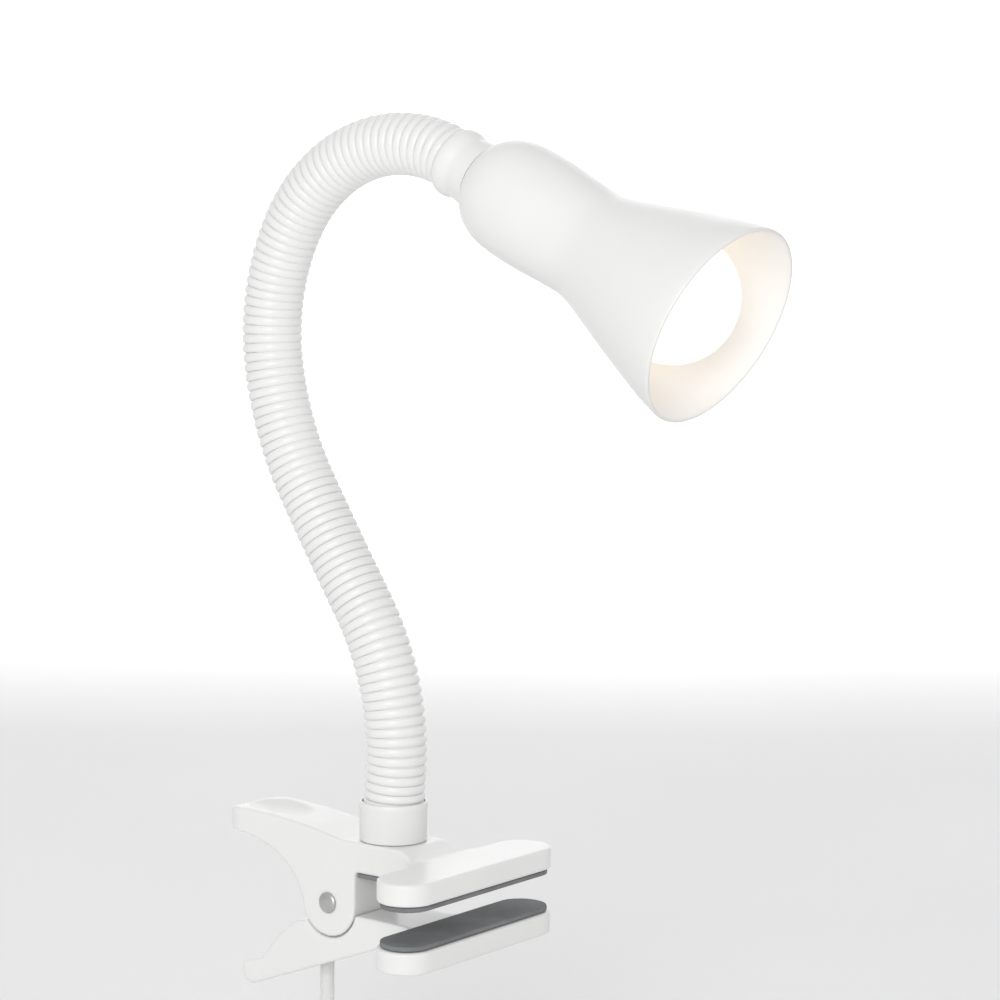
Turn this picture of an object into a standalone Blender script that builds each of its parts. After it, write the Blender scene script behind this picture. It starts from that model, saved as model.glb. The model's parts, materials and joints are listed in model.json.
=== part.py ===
"""A clip-on reading lamp: a bell shade on a ribbed gooseneck that stands on a two-lever spring clamp.

Run it with blender --background --python part.py, or from Blender's text editor.

Frame: metres, +Z up. The origin is the middle of the upper jaw pad's contact face, +X is the way
that the jaws and the shade point, and the lamp is symmetric about the XZ plane.
"""

import math

import bmesh
import bpy
from mathutils import Matrix, Vector

MM = 0.001

# ---------------------------------------------------------------- driving dimensions
GAP = 0.3 * MM  # between pieces that touch on the real lamp

# The clamp. Its side view is drawn in NECK coordinates, whose X starts at the neck's axis.
NECK_X = -33.5 * MM
JAW_GAP = 12.0 * MM
PAD_THICK = 1.7 * MM
PLATE_LOW = PAD_THICK + GAP
PLATE_THICK = 8.0 * MM
PLATE_TOP = PLATE_LOW + PLATE_THICK
NECK_SEAT = 13.2 * MM  # the arm's top where the collar stands
BAR_R = 10.7 * MM
BAR_HALF = 44.0 * MM
STEM_HALF = 13.0 * MM
STEM_FILLET = 9.0 * MM
WALL = 2.2 * MM
LEVER_LONG = 74.5 * MM  # from the neck's axis to the lever's end
PIVOT_X = NECK_X - 20.0 * MM
PIVOT_Z = -11.0 * MM
LUG_R = 12.5 * MM
INNER_LUG_R = 9.0 * MM
PIN_R = 2.5 * MM
SPRING_R = 5.2 * MM
SPRING_WIRE = 0.9 * MM

# The neck, in stretches of steady bend: (length, lean at its end). Lean is from +Z towards +X.
COLLAR_TALL = 14.5 * MM
COLLAR_R = 12.2 * MM
SLEEVE_IN_COLLAR = 6.0 * MM
NECK_STRETCHES = (
    (SLEEVE_IN_COLLAR, math.radians(4)),
    (10.5 * MM, math.radians(4)),
    (62.6 * MM, math.radians(-34)),
    (49.9 * MM, math.radians(-32.1)),
    (47.4 * MM, math.radians(-8.9)),
    (53.6 * MM, math.radians(29.6)),
    (78.5 * MM, math.radians(108.6)),
    (4.0 * MM, math.radians(116.2)),
    (6.0 * MM, math.radians(116.2)),
)
NECK_JOINTS = tuple(s * MM for s in (31, 81, 131, 182, 233, 284))
SLEEVE_R = 11.0 * MM
SLEEVE_BORE = 8.6 * MM
SOCKET_GAP = 0.4 * MM
CORE_R = 4.7 * MM
CORE_BORE = 3.1 * MM
CORE_END = 1.7 * MM  # from a bend's centre to the core's flat end
LEAD_R = 2.4 * MM
LEAD_END = 0.8 * MM

# The head, drawn along its own axis from the ferrule's bead (0) to the shade's rim.
SHADE_LONG = 120.5 * MM
SHADE_RIM_R = 36.0 * MM
SHADE_WALL = 1.4 * MM
NIPPLE_R = 5.0 * MM
BULB_R = 22.5 * MM
BULB_AT = 100.0 * MM

# The cord, and the surface that its coil lies on.
CORD_R = 2.6 * MM
CORD_X = NECK_X - 31.0 * MM
RELIEF_TOP = 0.2 * MM
RELIEF_BOTTOM = -31.0 * MM
FLOOR_Z = -100.0 * MM
COIL_AT = (38.0 * MM, -6.0 * MM)
COIL_MEAN_R = 31.0 * MM
COIL_TURNS_ACROSS = 3
COIL_LAYERS = 2

NAME = "clip_on_reading_lamp"


# ---------------------------------------------------------------- small tools
def clear_scene():
    """Remove every object that the scene starts with."""
    for thing in list(bpy.data.objects):
        bpy.data.objects.remove(thing, do_unlink=True)


def new_collection(name, hidden=False):
    group = bpy.data.collections.new(name)
    bpy.context.scene.collection.children.link(group)
    group.hide_render = hidden
    return group


def finish(name, colour, roughness, metallic=0.0):
    """A Principled material with one colour."""
    material = bpy.data.materials.new(name)
    material.use_nodes = True
    shader = material.node_tree.nodes["Principled BSDF"]
    shader.inputs["Base Color"].default_value = (*colour, 1.0)
    shader.inputs["Roughness"].default_value = roughness
    shader.inputs["Metallic"].default_value = metallic
    material.diffuse_color = (*colour, 1.0)
    return material


def place(name, mesh, material, matrix=Matrix(), cutter=False):
    """Make an object of a mesh in its collection; a cutter is drawn as wire and left out."""
    thing = bpy.data.objects.new(name, mesh)
    thing.matrix_world = matrix
    if cutter:
        CUTTERS.objects.link(thing)
        thing.hide_render = True
        thing.display_type = "WIRE"
    else:
        LAMP.objects.link(thing)
        mesh.materials.append(material)
    return thing


def arc(centre, radius, start, end, count):
    """Points on an arc, its ends among them; angles in degrees."""
    steps = [math.radians(start + (end - start) * k / count) for k in range(count + 1)]
    return [(centre[0] + radius * math.cos(a), centre[1] + radius * math.sin(a)) for a in steps]


def smooth(points, count):
    """A Catmull-Rom curve through the points, with count steps between neighbours."""
    spots = [Vector(p) for p in points]
    ends = [spots[0] * 2 - spots[1], *spots, spots[-1] * 2 - spots[-2]]
    curve = []
    for a, b, c, d in zip(ends, ends[1:], ends[2:], ends[3:]):
        for k in range(count):
            t = k / count
            bend = (a * 2 - b * 5 + c * 4 - d) * t * t + (b * 3 - a - c * 3 + d) * t * t * t
            curve.append(b + ((c - a) * t + bend) * 0.5)
    return [*curve, spots[-1]]


def turned_mesh(name, profile, closed):
    """A profile of (radius, height) points as edges in the XZ plane, for a Screw modifier."""
    mesh = bpy.data.meshes.new(name)
    edges = [(k, k + 1) for k in range(len(profile) - 1)]
    if closed:
        edges.append((len(profile) - 1, 0))
    mesh.from_pydata([(r, 0.0, h) for r, h in profile], edges, [])
    return mesh


def turned(name, profile, material, matrix=Matrix(), steps=24, closed=True, thick=0.0, cutter=False):
    """A turned piece: its profile runs down its outer side first."""
    thing = place(name, turned_mesh(name, profile, closed), material, matrix, cutter)
    screw = thing.modifiers.new("turn", "SCREW")
    screw.axis = "Z"
    screw.steps = steps
    screw.render_steps = steps
    screw.use_merge_vertices = True
    screw.merge_threshold = 1e-5
    screw.use_smooth_shade = True
    if thick:
        wall = thing.modifiers.new("wall", "SOLIDIFY")
        wall.thickness = thick
        wall.offset = -1.0
    return thing


def rod_profile(radius, low, high):
    """A solid cylinder's profile, from its top centre to its bottom centre."""
    return [(0.0, high), (radius, high), (radius, low), (0.0, low)]


def ring_profile(outer, inner, low, high):
    """A flat ring's profile."""
    return [(outer, high), (outer, low), (inner, low), (inner, high)]


def slab(name, outline, low, high, upright, material=None, cutter=False):
    """An outline made solid between two levels: along Z, or along Y where it stands upright."""
    curve = bpy.data.curves.new(name, "CURVE")
    curve.dimensions = "2D"
    curve.fill_mode = "BOTH"
    curve.extrude = (high - low) / 2
    spline = curve.splines.new("POLY")
    spline.points.add(len(outline) - 1)
    for point, (u, v) in zip(spline.points, outline):
        point.co = (u, v, 0.0, 1.0)
    spline.use_cyclic_u = True
    flat = bpy.data.objects.new(name, curve)
    bpy.context.scene.collection.objects.link(flat)
    bpy.context.view_layer.update()
    evaluated = flat.evaluated_get(bpy.context.evaluated_depsgraph_get())
    mesh = bpy.data.meshes.new_from_object(evaluated)
    bpy.data.objects.remove(flat, do_unlink=True)
    middle = Matrix.Translation((0.0, 0.0, (low + high) / 2))
    if upright:
        middle = Matrix.Rotation(math.radians(90), 4, "X") @ middle
    solid = bmesh.new()
    solid.from_mesh(mesh)
    bmesh.ops.remove_doubles(solid, verts=solid.verts, dist=1e-6)
    bmesh.ops.transform(solid, matrix=middle, verts=solid.verts)
    bmesh.ops.recalc_face_normals(solid, faces=solid.faces)
    solid.to_mesh(mesh)
    solid.free()
    return place(name, mesh, material, cutter=cutter)


def block(name, low, high):
    """A box-shaped cutter between two corners."""
    mesh = bpy.data.meshes.new(name)
    solid = bmesh.new()
    bmesh.ops.create_cube(solid, size=1.0)
    size = [b - a for a, b in zip(low, high)]
    middle = [(a + b) / 2 for a, b in zip(low, high)]
    bmesh.ops.scale(solid, vec=size, verts=solid.verts)
    bmesh.ops.translate(solid, vec=middle, verts=solid.verts)
    solid.to_mesh(mesh)
    solid.free()
    return place(name, mesh, None, cutter=True)


def combine(target, other, how):
    """A Boolean modifier: DIFFERENCE, UNION or INTERSECT with a cutter."""
    modifier = target.modifiers.new(how.lower(), "BOOLEAN")
    modifier.operation = how
    modifier.solver = "EXACT"
    modifier.object = other


def drill(target, name, radius, low, high, matrix, steps=14):
    """Cut a round hole out of a piece, between two heights on an axis."""
    bit = turned(name, rod_profile(radius, low, high), None, matrix, steps, False, cutter=True)
    combine(target, bit, "DIFFERENCE")


def tube(name, points, radius, material, fine=2):
    """A round wire or cord along points, with closed ends."""
    curve = bpy.data.curves.new(name, "CURVE")
    curve.dimensions = "3D"
    curve.bevel_depth = radius
    curve.bevel_resolution = fine
    curve.use_fill_caps = True
    curve.twist_mode = "MINIMUM"
    spline = curve.splines.new("POLY")
    spline.points.add(len(points) - 1)
    for spot, point in zip(spline.points, points):
        spot.co = (*point, 1.0)
    return place(name, curve, material)


def loft(name, rings, material, closed):
    """A skin over rings of equal point counts, either closed on itself or capped at both ends."""
    solid = bmesh.new()
    rows = [[solid.verts.new(p) for p in ring] for ring in rings]
    pairs = list(zip(rows, rows[1:]))
    if closed:
        pairs.append((rows[-1], rows[0]))
    count = len(rows[0])
    for lower, upper in pairs:
        for k in range(count):
            n = (k + 1) % count
            solid.faces.new((lower[k], lower[n], upper[n], upper[k]))
    if not closed:
        solid.faces.new(rows[0])
        solid.faces.new(rows[-1])
    bmesh.ops.recalc_face_normals(solid, faces=solid.faces)
    mesh = bpy.data.meshes.new(name)
    solid.to_mesh(mesh)
    solid.free()
    mesh.shade_smooth()
    mesh.set_sharp_from_angle(angle=math.radians(40))
    return place(name, mesh, material)


def along_y(x, z):
    """A matrix that lays a turned piece's axis along Y through (x, z)."""
    return Matrix.Translation((x, 0.0, z)) @ Matrix.Rotation(math.radians(90), 4, "X")


# ---------------------------------------------------------------- the clamp's outlines
def t_plan(end, inset=0.0):
    """A stem and a bar from above: the stem's end is given as points from its middle to its side."""
    half = STEM_HALF - inset
    fillet_at = (inset - BAR_R - STEM_FILLET, half + STEM_FILLET)
    lobe_at = (0.0, BAR_HALF - BAR_R)
    side = end + arc(fillet_at, STEM_FILLET, -90, 0, 8) + arc(lobe_at, BAR_R - inset, 180, 0, 18)
    return side + [(x, -y) for x, y in reversed(side) if y > 1e-6]


def arm_plan():
    end_x = NECK_X - LEVER_LONG + STEM_HALF
    return t_plan(arc((end_x, 0.0), STEM_HALF, 180, 90, 12))


def bar_plan(inset):
    """The outline of a pad that covers the bar."""
    radius = BAR_R - inset
    lobe_y = BAR_HALF - BAR_R
    return arc((0.0, lobe_y), radius, 0, 180, 16) + arc((0.0, -lobe_y), radius, 180, 360, 16)


def side_view(points):
    """Neck coordinates in millimetres, as (x, z) in metres for an upright slab."""
    return [(NECK_X + x * MM, z * MM) for x, z in points]


def lug_arc(radius, start, end, count):
    return arc((PIVOT_X, PIVOT_Z), radius, start, end, count)


def upper_side():
    """The upper arm from the side: flat bar, rise to the neck's seat, lever, round pivot skirt."""
    top = [(51.0, 10.0), (22.0, 10.0), (18.0, 11.4), (13.5, 13.2), (-13.0, 13.2)]
    lever = [(-20.0, 14.2), (-30.0, 16.0), (-38.0, 17.0), (-45.0, 17.7), (-60.0, 18.5), (-68.0, 18.0)]
    end = [(-72.5, 16.6), (-74.6, 13.8), (-73.4, 10.6), (-70.0, 9.2)]
    under = [(-61.0, 9.0), (-54.0, 7.6), (-46.0, 4.4), (-40.0, 0.4), (-35.6, -4.4)]
    front = side_view([(-7.5, 2.0), (51.0, 2.0)])
    return side_view(top + lever + end + under) + lug_arc(LUG_R, 180, 360, 14) + front


LOWER_PLATE_TOP = -JAW_GAP - PLATE_LOW
LOWER_PLATE_LOW = LOWER_PLATE_TOP - PLATE_THICK


def lower_side():
    """The lower arm from the side: flat plate, then a lever that drops to the back."""
    low = LOWER_PLATE_LOW / MM
    top = LOWER_PLATE_TOP / MM
    back = [(-27.0, top), (-30.6, -19.0), (-36.5, -20.6), (-44.0, -26.8), (-52.5, -37.0), (-61.2, -39.6)]
    end = [(-61.9, -42.4), (-60.6, -46.6), (-57.0, -47.8)]
    return side_view([(51.0, top), *back, *end, (10.0, low), (51.0, low)])


# ---------------------------------------------------------------- the clamp
def thumb_dish():
    """A shallow oval cutter that lies in the top of the lever."""
    at = Matrix.Translation((NECK_X - 54 * MM, 0.0, 24.4 * MM))
    shape = at @ Matrix.Diagonal((25 * MM, 13.4 * MM, 9 * MM, 1.0))
    mesh = bpy.data.meshes.new("cut_thumb_dish")
    ball = bmesh.new()
    bmesh.ops.create_uvsphere(ball, u_segments=24, v_segments=12, radius=1.0, matrix=shape)
    ball.to_mesh(mesh)
    ball.free()
    return place("cut_thumb_dish", mesh, None, cutter=True)


def build_upper_arm():
    arm = slab("upper_clamp_arm", upper_side(), -BAR_HALF, BAR_HALF, True, WHITE)
    plan = slab("cut_upper_plan", arm_plan(), -60 * MM, 60 * MM, False, cutter=True)
    combine(arm, plan, "INTERSECT")
    inside = [(-9.0, -30.0), (-9.0, 10.4), (-28.0, 13.2), (-60.0, 14.0), (-66.0, 13.6), (-66.0, -30.0)]
    half = STEM_HALF - WALL
    combine(arm, slab("cut_upper_hollow", side_view(inside), -half, half, True, cutter=True), "DIFFERENCE")
    shelf = [(-37.4, 0.5), (-24.5, 0.5), (-24.5, 14.0), (-37.4, 14.0)]
    combine(arm, slab("add_relief_shelf", side_view(shelf), -5 * MM, 5 * MM, True, cutter=True), "UNION")
    room_low = (CORD_X - 5 * MM, -3.6 * MM, 3 * MM)
    combine(arm, block("cut_relief_room", room_low, (NECK_X - 20 * MM, 3.6 * MM, 10.5 * MM)), "DIFFERENCE")
    at_neck = Matrix.Translation((NECK_X, 0.0, 0.0))
    drill(arm, "cut_nut_pocket", 10.4 * MM, PLATE_LOW - 0.1 * MM, NECK_SEAT - 2.8 * MM, at_neck, 20)
    drill(arm, "cut_neck_hole", NIPPLE_R + GAP, 8 * MM, 16 * MM, at_neck, 16)
    drill(arm, "cut_relief_hole", 3.3 * MM, -2 * MM, 5 * MM, Matrix.Translation((CORD_X, 0.0, 0.0)))
    drill(arm, "cut_upper_pin", PIN_R + GAP, -2 * STEM_HALF, 2 * STEM_HALF, along_y(PIVOT_X, PIVOT_Z))
    combine(arm, thumb_dish(), "DIFFERENCE")


def build_lower_arm():
    arm = slab("lower_clamp_arm", lower_side(), -BAR_HALF, BAR_HALF, True, WHITE)
    plan = slab("cut_lower_plan", arm_plan(), -70 * MM, 60 * MM, False, cutter=True)
    combine(arm, plan, "INTERSECT")
    at_pivot = along_y(PIVOT_X, PIVOT_Z)
    drill(arm, "cut_lug_clearance", LUG_R + 2 * GAP, -60 * MM, 60 * MM, at_pivot, 40)
    lugs = lug_arc(INNER_LUG_R, 180, 0, 10)
    lugs += [(PIVOT_X + INNER_LUG_R, -29 * MM), (PIVOT_X - INNER_LUG_R, -33 * MM)]
    half = STEM_HALF - WALL - 2 * GAP
    combine(arm, slab("add_inner_lugs", lugs, -half, half, True, cutter=True), "UNION")
    floor_line = [(-9.0, -26.2), (-57.0, -44.6), (-57.0, -30.0), (-30.0, 10.0), (-9.0, 10.0)]
    half -= WALL - 0.2 * MM
    inside = slab("cut_lower_hollow", side_view(floor_line), -half, half, True, cutter=True)
    combine(arm, inside, "DIFFERENCE")
    drill(arm, "cut_lower_pin", PIN_R + GAP, -STEM_HALF, STEM_HALF, at_pivot)
    slot_low = (NECK_X - 41 * MM, -4.5 * MM, -60 * MM)
    combine(arm, block("cut_cord_slot", slot_low, (NECK_X - 14 * MM, 4.5 * MM, -26 * MM)), "DIFFERENCE")


def build_pads():
    throat = PIVOT_X + LUG_R + 2 * GAP
    end = [(throat, STEM_HALF - 1.2 * MM)]
    slab("upper_jaw_pad", t_plan(end, 1.2 * MM), 0.0, PAD_THICK, False, RUBBER)
    low = -JAW_GAP - PAD_THICK
    slab("lower_jaw_pad", bar_plan(1.2 * MM), low, -JAW_GAP, False, RUBBER)


def build_pivot():
    """The pin with a round head on one side and a riveted end on the other."""
    half = STEM_HALF + GAP
    head = 3.9 * MM
    profile = [(0.0, half + 1.0 * MM), (head * 0.7, half + 0.9 * MM), (head, half)]
    profile += [(PIN_R, half), (PIN_R, -half), (head, -half), (head * 0.7, -half - 0.9 * MM)]
    profile += [(0.0, -half - 1.0 * MM)]
    turned("pivot_pin", profile, STEEL, along_y(PIVOT_X, PIVOT_Z), 14, False)


def spring_half(name, side, leg_end, leg_lean):
    """Half of the torsion spring: a coil about the pin, and a leg that presses on one arm."""
    turns = 2.75
    per_turn = 12
    pitch = 1.85 * MM
    start = math.radians(leg_lean)
    points = []
    count = int(turns * per_turn)
    for k in range(count + 1):
        turn = start - side * 2 * math.pi * (count - k) / per_turn
        y = side * (1.3 * MM + pitch * k / per_turn)
        x = PIVOT_X + SPRING_R * math.cos(turn)
        z = PIVOT_Z + SPRING_R * math.sin(turn)
        points.append((x, y, z))
    points.append((NECK_X + leg_end[0] * MM, points[-1][1], leg_end[1] * MM))
    tube(name, points, SPRING_WIRE, STEEL, 1)


def build_spring():
    spring_half("torsion_spring_upper_leg", 1, (-45.0, 12.3), 54)
    spring_half("torsion_spring_lower_leg", -1, (-45.0, -37.6), -51)


def build_strain_relief():
    """A tapered rubber sleeve on the cord, whose waist snaps into the upper arm's shelf."""
    top = 3.4 * MM
    profile = [(0.0, top), (3.0 * MM, top), (3.0 * MM, RELIEF_TOP), (3.9 * MM, RELIEF_TOP)]
    profile += [(3.9 * MM, -3.0 * MM), (3.7 * MM, -12 * MM), (3.1 * MM, RELIEF_BOTTOM), (0.0, RELIEF_BOTTOM)]
    turned("cord_strain_relief", profile, RUBBER, Matrix.Translation((CORD_X, 0.0, 0.0)), 12, False)


def build_clamp_leads():
    """The two wires from the neck's nipple, over the spring, to the top of the strain relief."""
    route = [(0.1, 21.2), (0.0, 13.2), (0.0, 8.6), (-0.7, 7.0), (-2.6, 6.3), (-7.0, 6.2), (-14.0, 6.6)]
    route += [(-23.0, 7.4), (-29.0, 7.2), (-31.0, 6.0), (-31.0, 4.4)]
    for side, label in ((1, "live"), (-1, "neutral")):
        points = smooth([(NECK_X + x * MM, side * 0.95 * MM, z * MM) for x, z in route], 2)
        tube(f"clamp_lead_{label}", points, 0.75 * MM, CABLE, 1)


# ---------------------------------------------------------------- the neck
def neck_curve(distance):
    """The neck's centre and its lean at a distance from the bottom of the collar's bore."""
    spot = Vector((NECK_X, 0.0, NECK_SEAT + COLLAR_TALL - SLEEVE_IN_COLLAR))
    lean = 0.0
    left = distance
    for k, (long, end_lean) in enumerate(NECK_STRETCHES):
        last = k == len(NECK_STRETCHES) - 1
        run = left if last or left < long else long
        rate = (end_lean - lean) / long if left > 0 else 0.0
        steps = max(1, int(abs(run) / (0.5 * MM)))
        for _ in range(steps):
            middle = lean + rate * run / steps / 2
            spot = spot + Vector((math.sin(middle), 0.0, math.cos(middle))) * (run / steps)
            lean += rate * run / steps
        left -= run
        if left <= 0:
            break
    return spot, lean


def ring_at(spot, lean, radius, sides):
    """A ring square to the neck."""
    across = Vector((math.cos(lean), 0.0, -math.sin(lean)))
    aside = Vector((0.0, 1.0, 0.0))
    turns = [2 * math.pi * (k + 0.5) / sides for k in range(sides)]
    return [spot + (across * math.cos(a) + aside * math.sin(a)) * radius for a in turns]


def heading(lean):
    return Vector((math.sin(lean), 0.0, math.cos(lean)))


def middle_stations(start, end, stub, count):
    """Centres and leans from start to end that run straight for a stub at each end."""
    (a, lean_a), (b, lean_b) = neck_curve(start), neck_curve(end)
    first = a + heading(lean_a) * stub[0]
    last = b - heading(lean_b) * stub[1]
    reach = (last - first).length / 3
    handles = (first, first + heading(lean_a) * reach, last - heading(lean_b) * reach, last)
    found = []
    for k in range(count + 1):
        t = k / count
        u = 1 - t
        weights = (u**3, 3 * u * u * t, 3 * u * t * t, t**3)
        spot = sum((h * w for h, w in zip(handles, weights)), Vector())
        slopes = (u * u, 2 * u * t, t * t)
        way = sum(((q - p) * w for p, q, w in zip(handles, handles[1:], slopes)), Vector())
        found.append((spot, math.atan2(way.x, way.z)))
    return found


def sleeve_section(name, start, end, ball_start, ball_end):
    """A stretch of ribbed sleeve: a socket where it starts on a bend, a ball where it ends on one."""
    sides = 18
    stub = (8.5 * MM if ball_start else 0.0, 2.0 * MM)
    stations = middle_stations(start, end, stub, 3)
    (a, lean_a), (b, lean_b) = neck_curve(start), neck_curve(end)
    socket = SLEEVE_R + SOCKET_GAP
    radii = [SLEEVE_R, (SLEEVE_R * 2 + SLEEVE_BORE) / 3, SLEEVE_BORE]
    rings = []
    if ball_start:
        rise = math.sqrt(socket**2 - SLEEVE_R**2)
        rings.append(ring_at(a + heading(lean_a) * rise, lean_a, SLEEVE_R, sides))
    rings += [ring_at(spot, lean, SLEEVE_R, sides) for spot, lean in stations]
    if ball_end:
        rings.append(ring_at(b, lean_b, SLEEVE_R, sides))
        for radius in radii[1:]:
            rise = math.sqrt(SLEEVE_R**2 - radius**2)
            rings.append(ring_at(b + heading(lean_b) * rise, lean_b, radius, sides))
    rings += [ring_at(spot, lean, SLEEVE_BORE, sides) for spot, lean in reversed(stations)]
    if ball_start:
        for radius in reversed(radii[1:2]):
            rise = math.sqrt(socket**2 - radius**2)
            rings.append(ring_at(a + heading(lean_a) * rise, lean_a, radius, sides))
    return loft(name, rings, WHITE, True)


def core_section(name, start, end):
    """A stretch of the steel gooseneck tube."""
    stations = middle_stations(start, end, (0.0, 0.0), 4)
    rings = [ring_at(spot, lean, CORE_R, 10) for spot, lean in stations]
    rings += [ring_at(spot, lean, CORE_BORE, 10) for spot, lean in reversed(stations)]
    return loft(name, rings, STEEL, True)


def lead_section(name, start, end):
    """A stretch of the two-core lead inside the gooseneck."""
    stations = middle_stations(start, end, (0.0, 0.0), 4)
    return loft(name, [ring_at(spot, lean, LEAD_R, 6) for spot, lean in stations], CABLE, False)


def neck_length():
    return sum(long for long, _ in NECK_STRETCHES)


def build_neck():
    ends = [0.0, *NECK_JOINTS, neck_length() - 3.2 * MM]
    count = len(ends) - 1
    for k, (start, end) in enumerate(zip(ends, ends[1:])):
        first = k == 0
        last = k == count - 1
        sleeve_section(f"neck_sleeve_{k + 1}", start, end, not first, not last)
        core_start = SLEEVE_IN_COLLAR if first else start + CORE_END
        core_end = neck_length() - 6.4 * MM if last else end - CORE_END
        core_section(f"gooseneck_core_{k + 1}", core_start, core_end)
        lead_start = start if first else start + LEAD_END
        lead_end = neck_length() - 1.0 * MM if last else end - LEAD_END
        lead_section(f"neck_lead_{k + 1}", lead_start, lead_end)


def hex_nut(name, at, corner_r, low, high):
    """A nut on one of the gooseneck's two nipples."""
    nut = turned(name, rod_profile(corner_r, low, high), STEEL, at, 6, False)
    drill(nut, f"cut_{name}", NIPPLE_R + GAP, low - 2 * MM, high + 2 * MM, at)


def build_neck_base():
    """The collar on the plate, and the steel end fitting that holds the gooseneck in it."""
    at_neck = Matrix.Translation((NECK_X, 0.0, 0.0))
    low = NECK_SEAT + GAP
    top = NECK_SEAT + COLLAR_TALL
    bore = 11.5 * MM
    nipple_low = 7.5 * MM
    profile = [(COLLAR_R - 0.6 * MM, top), (COLLAR_R + 0.2 * MM, top - 0.7 * MM)]
    profile += [(COLLAR_R + 0.2 * MM, top - 2.5 * MM), (COLLAR_R, top - 3.2 * MM)]
    profile += [(COLLAR_R - 0.2 * MM, low), (7.8 * MM, low), (7.8 * MM, top - 6.9 * MM)]
    profile += [(bore, top - 6.9 * MM), (bore, top)]
    turned("base_collar", profile, WHITE, at_neck, 28)
    flange_top = top - 0.5 * MM
    fitting = [(7.3 * MM, flange_top), (7.3 * MM, low + GAP), (NIPPLE_R, low + GAP)]
    fitting += [(NIPPLE_R, nipple_low), (3.6 * MM, nipple_low), (3.6 * MM, flange_top)]
    turned("neck_base_fitting", fitting, STEEL, at_neck, 12)
    hex_nut("neck_base_nut", at_neck, 9.0 * MM, nipple_low + 0.2 * MM, nipple_low + 2.6 * MM)


# ---------------------------------------------------------------- the head
def head_matrix():
    """The head's own axis as +Z, from the end of the neck."""
    spot, lean = neck_curve(neck_length())
    return Matrix.Translation(spot) @ Matrix.Rotation(lean, 4, "Y")


def in_mm(points):
    return [(r * MM, h * MM) for r, h in points]


def build_shade(at):
    rim = (SHADE_RIM_R / MM, SHADE_LONG / MM)
    bell = [rim, (34.4, 112.6), (31.6, 103.0), (28.1, 91.4), (24.1, 79.2), (20.2, 67.0)]
    body = [(19.5, 62.0), (20.0, 53.0), (20.5, 41.0), (20.5, 30.0), (19.8, 23.6), (18.0, 18.4)]
    back = [(15.6, 14.8), (12.6, 12.2), (5.4, 12.2)]
    turned("lampshade", in_mm(bell + body + back), WHITE, at, 32, False, SHADE_WALL)


def build_ferrule(at):
    outer = [(12.5, 11.9), (12.2, 8.0), (11.7, 3.4), (12.1, 1.6), (12.2, 0.0), (11.9, -1.7), (11.2, -2.8)]
    inner = [(8.7, -2.8), (8.7, 6.2), (5.3, 6.2), (5.3, 11.9)]
    turned("shade_ferrule", in_mm(outer + inner), WHITE, at, 28)
    fitting = [(5.0, 21.0), (5.0, 5.9), (8.2, 5.9), (8.2, -6.0), (3.6, -6.0), (3.6, 21.0)]
    turned("neck_head_fitting", in_mm(fitting), STEEL, at, 12)


def build_lampholder(at):
    outer = [(14.0, 70.0), (14.0, 20.0), (12.0, 15.8), (7.5, 13.9)]
    inner = [(5.3, 13.9), (5.3, 16.4), (10.4, 17.4), (10.4, 34.0), (9.0, 34.0), (9.0, 70.0)]
    turned("lampholder_body", in_mm(outer + inner), BAKELITE, at, 20)
    hex_nut("lampholder_nut", at, 8.4 * MM, 17.8 * MM, 20.6 * MM)
    insulator = in_mm([(0.0, 42.0), (8.7, 42.0), (8.7, 34.3), (0.0, 34.3)])
    turned("lampholder_insulator", insulator, CERAMIC, at, 14, False)
    shell = in_mm([(8.3, 68.0), (8.3, 48.0), (7.5, 48.0), (7.5, 68.0)])
    turned("lampholder_thread_shell", shell, BRASS, at, 16)
    contact = in_mm([(0.0, 46.8), (2.6, 46.0), (3.2, 42.3), (0.0, 42.3)])
    turned("lampholder_centre_contact", contact, BRASS, at, 8, False)
    for side, label in ((1, "live"), (-1, "neutral")):
        there = at @ Matrix.Translation((0.0, side * 4.6 * MM, 0.0))
        screw = in_mm([(0.0, 34.0), (1.5, 34.0), (1.5, 31.4), (2.2, 31.4), (2.2, 29.8), (0.0, 29.8)])
        turned(f"terminal_screw_{label}", screw, BRASS, there, 8, False)


def build_bulb(at):
    """A golf-ball bulb with a small screw cap."""
    ball = [(r, BULB_AT + z) for z, r in arc((0.0, 0.0), BULB_R, 0, 120, 8)]
    stem = in_mm([(14.6, 83.6), (10.6, 77.3), (7.6, 73.0), (6.3, 70.4), (6.2, 66.4)])
    turned("bulb_glass", ball + stem, OPAL, at, 24, False, 0.9 * MM)
    cap = [(7.2, 70.0), (6.95, 66.0), (6.95, 52.0), (5.0, 50.2), (2.6, 49.6), (2.6, 50.6), (4.6, 51.2)]
    cap += [(6.4, 52.8), (6.5, 66.0), (6.7, 70.0)]
    turned("bulb_screw_cap", in_mm(cap), ALUMINIUM, at, 16)
    contact = in_mm([(0.0, 49.3), (2.4, 49.3), (2.4, 48.2), (0.0, 47.2)])
    turned("bulb_centre_contact", contact, BRASS, at, 10, False)


def build_head():
    at = head_matrix()
    build_shade(at)
    build_ferrule(at)
    build_lampholder(at)
    build_bulb(at)


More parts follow.
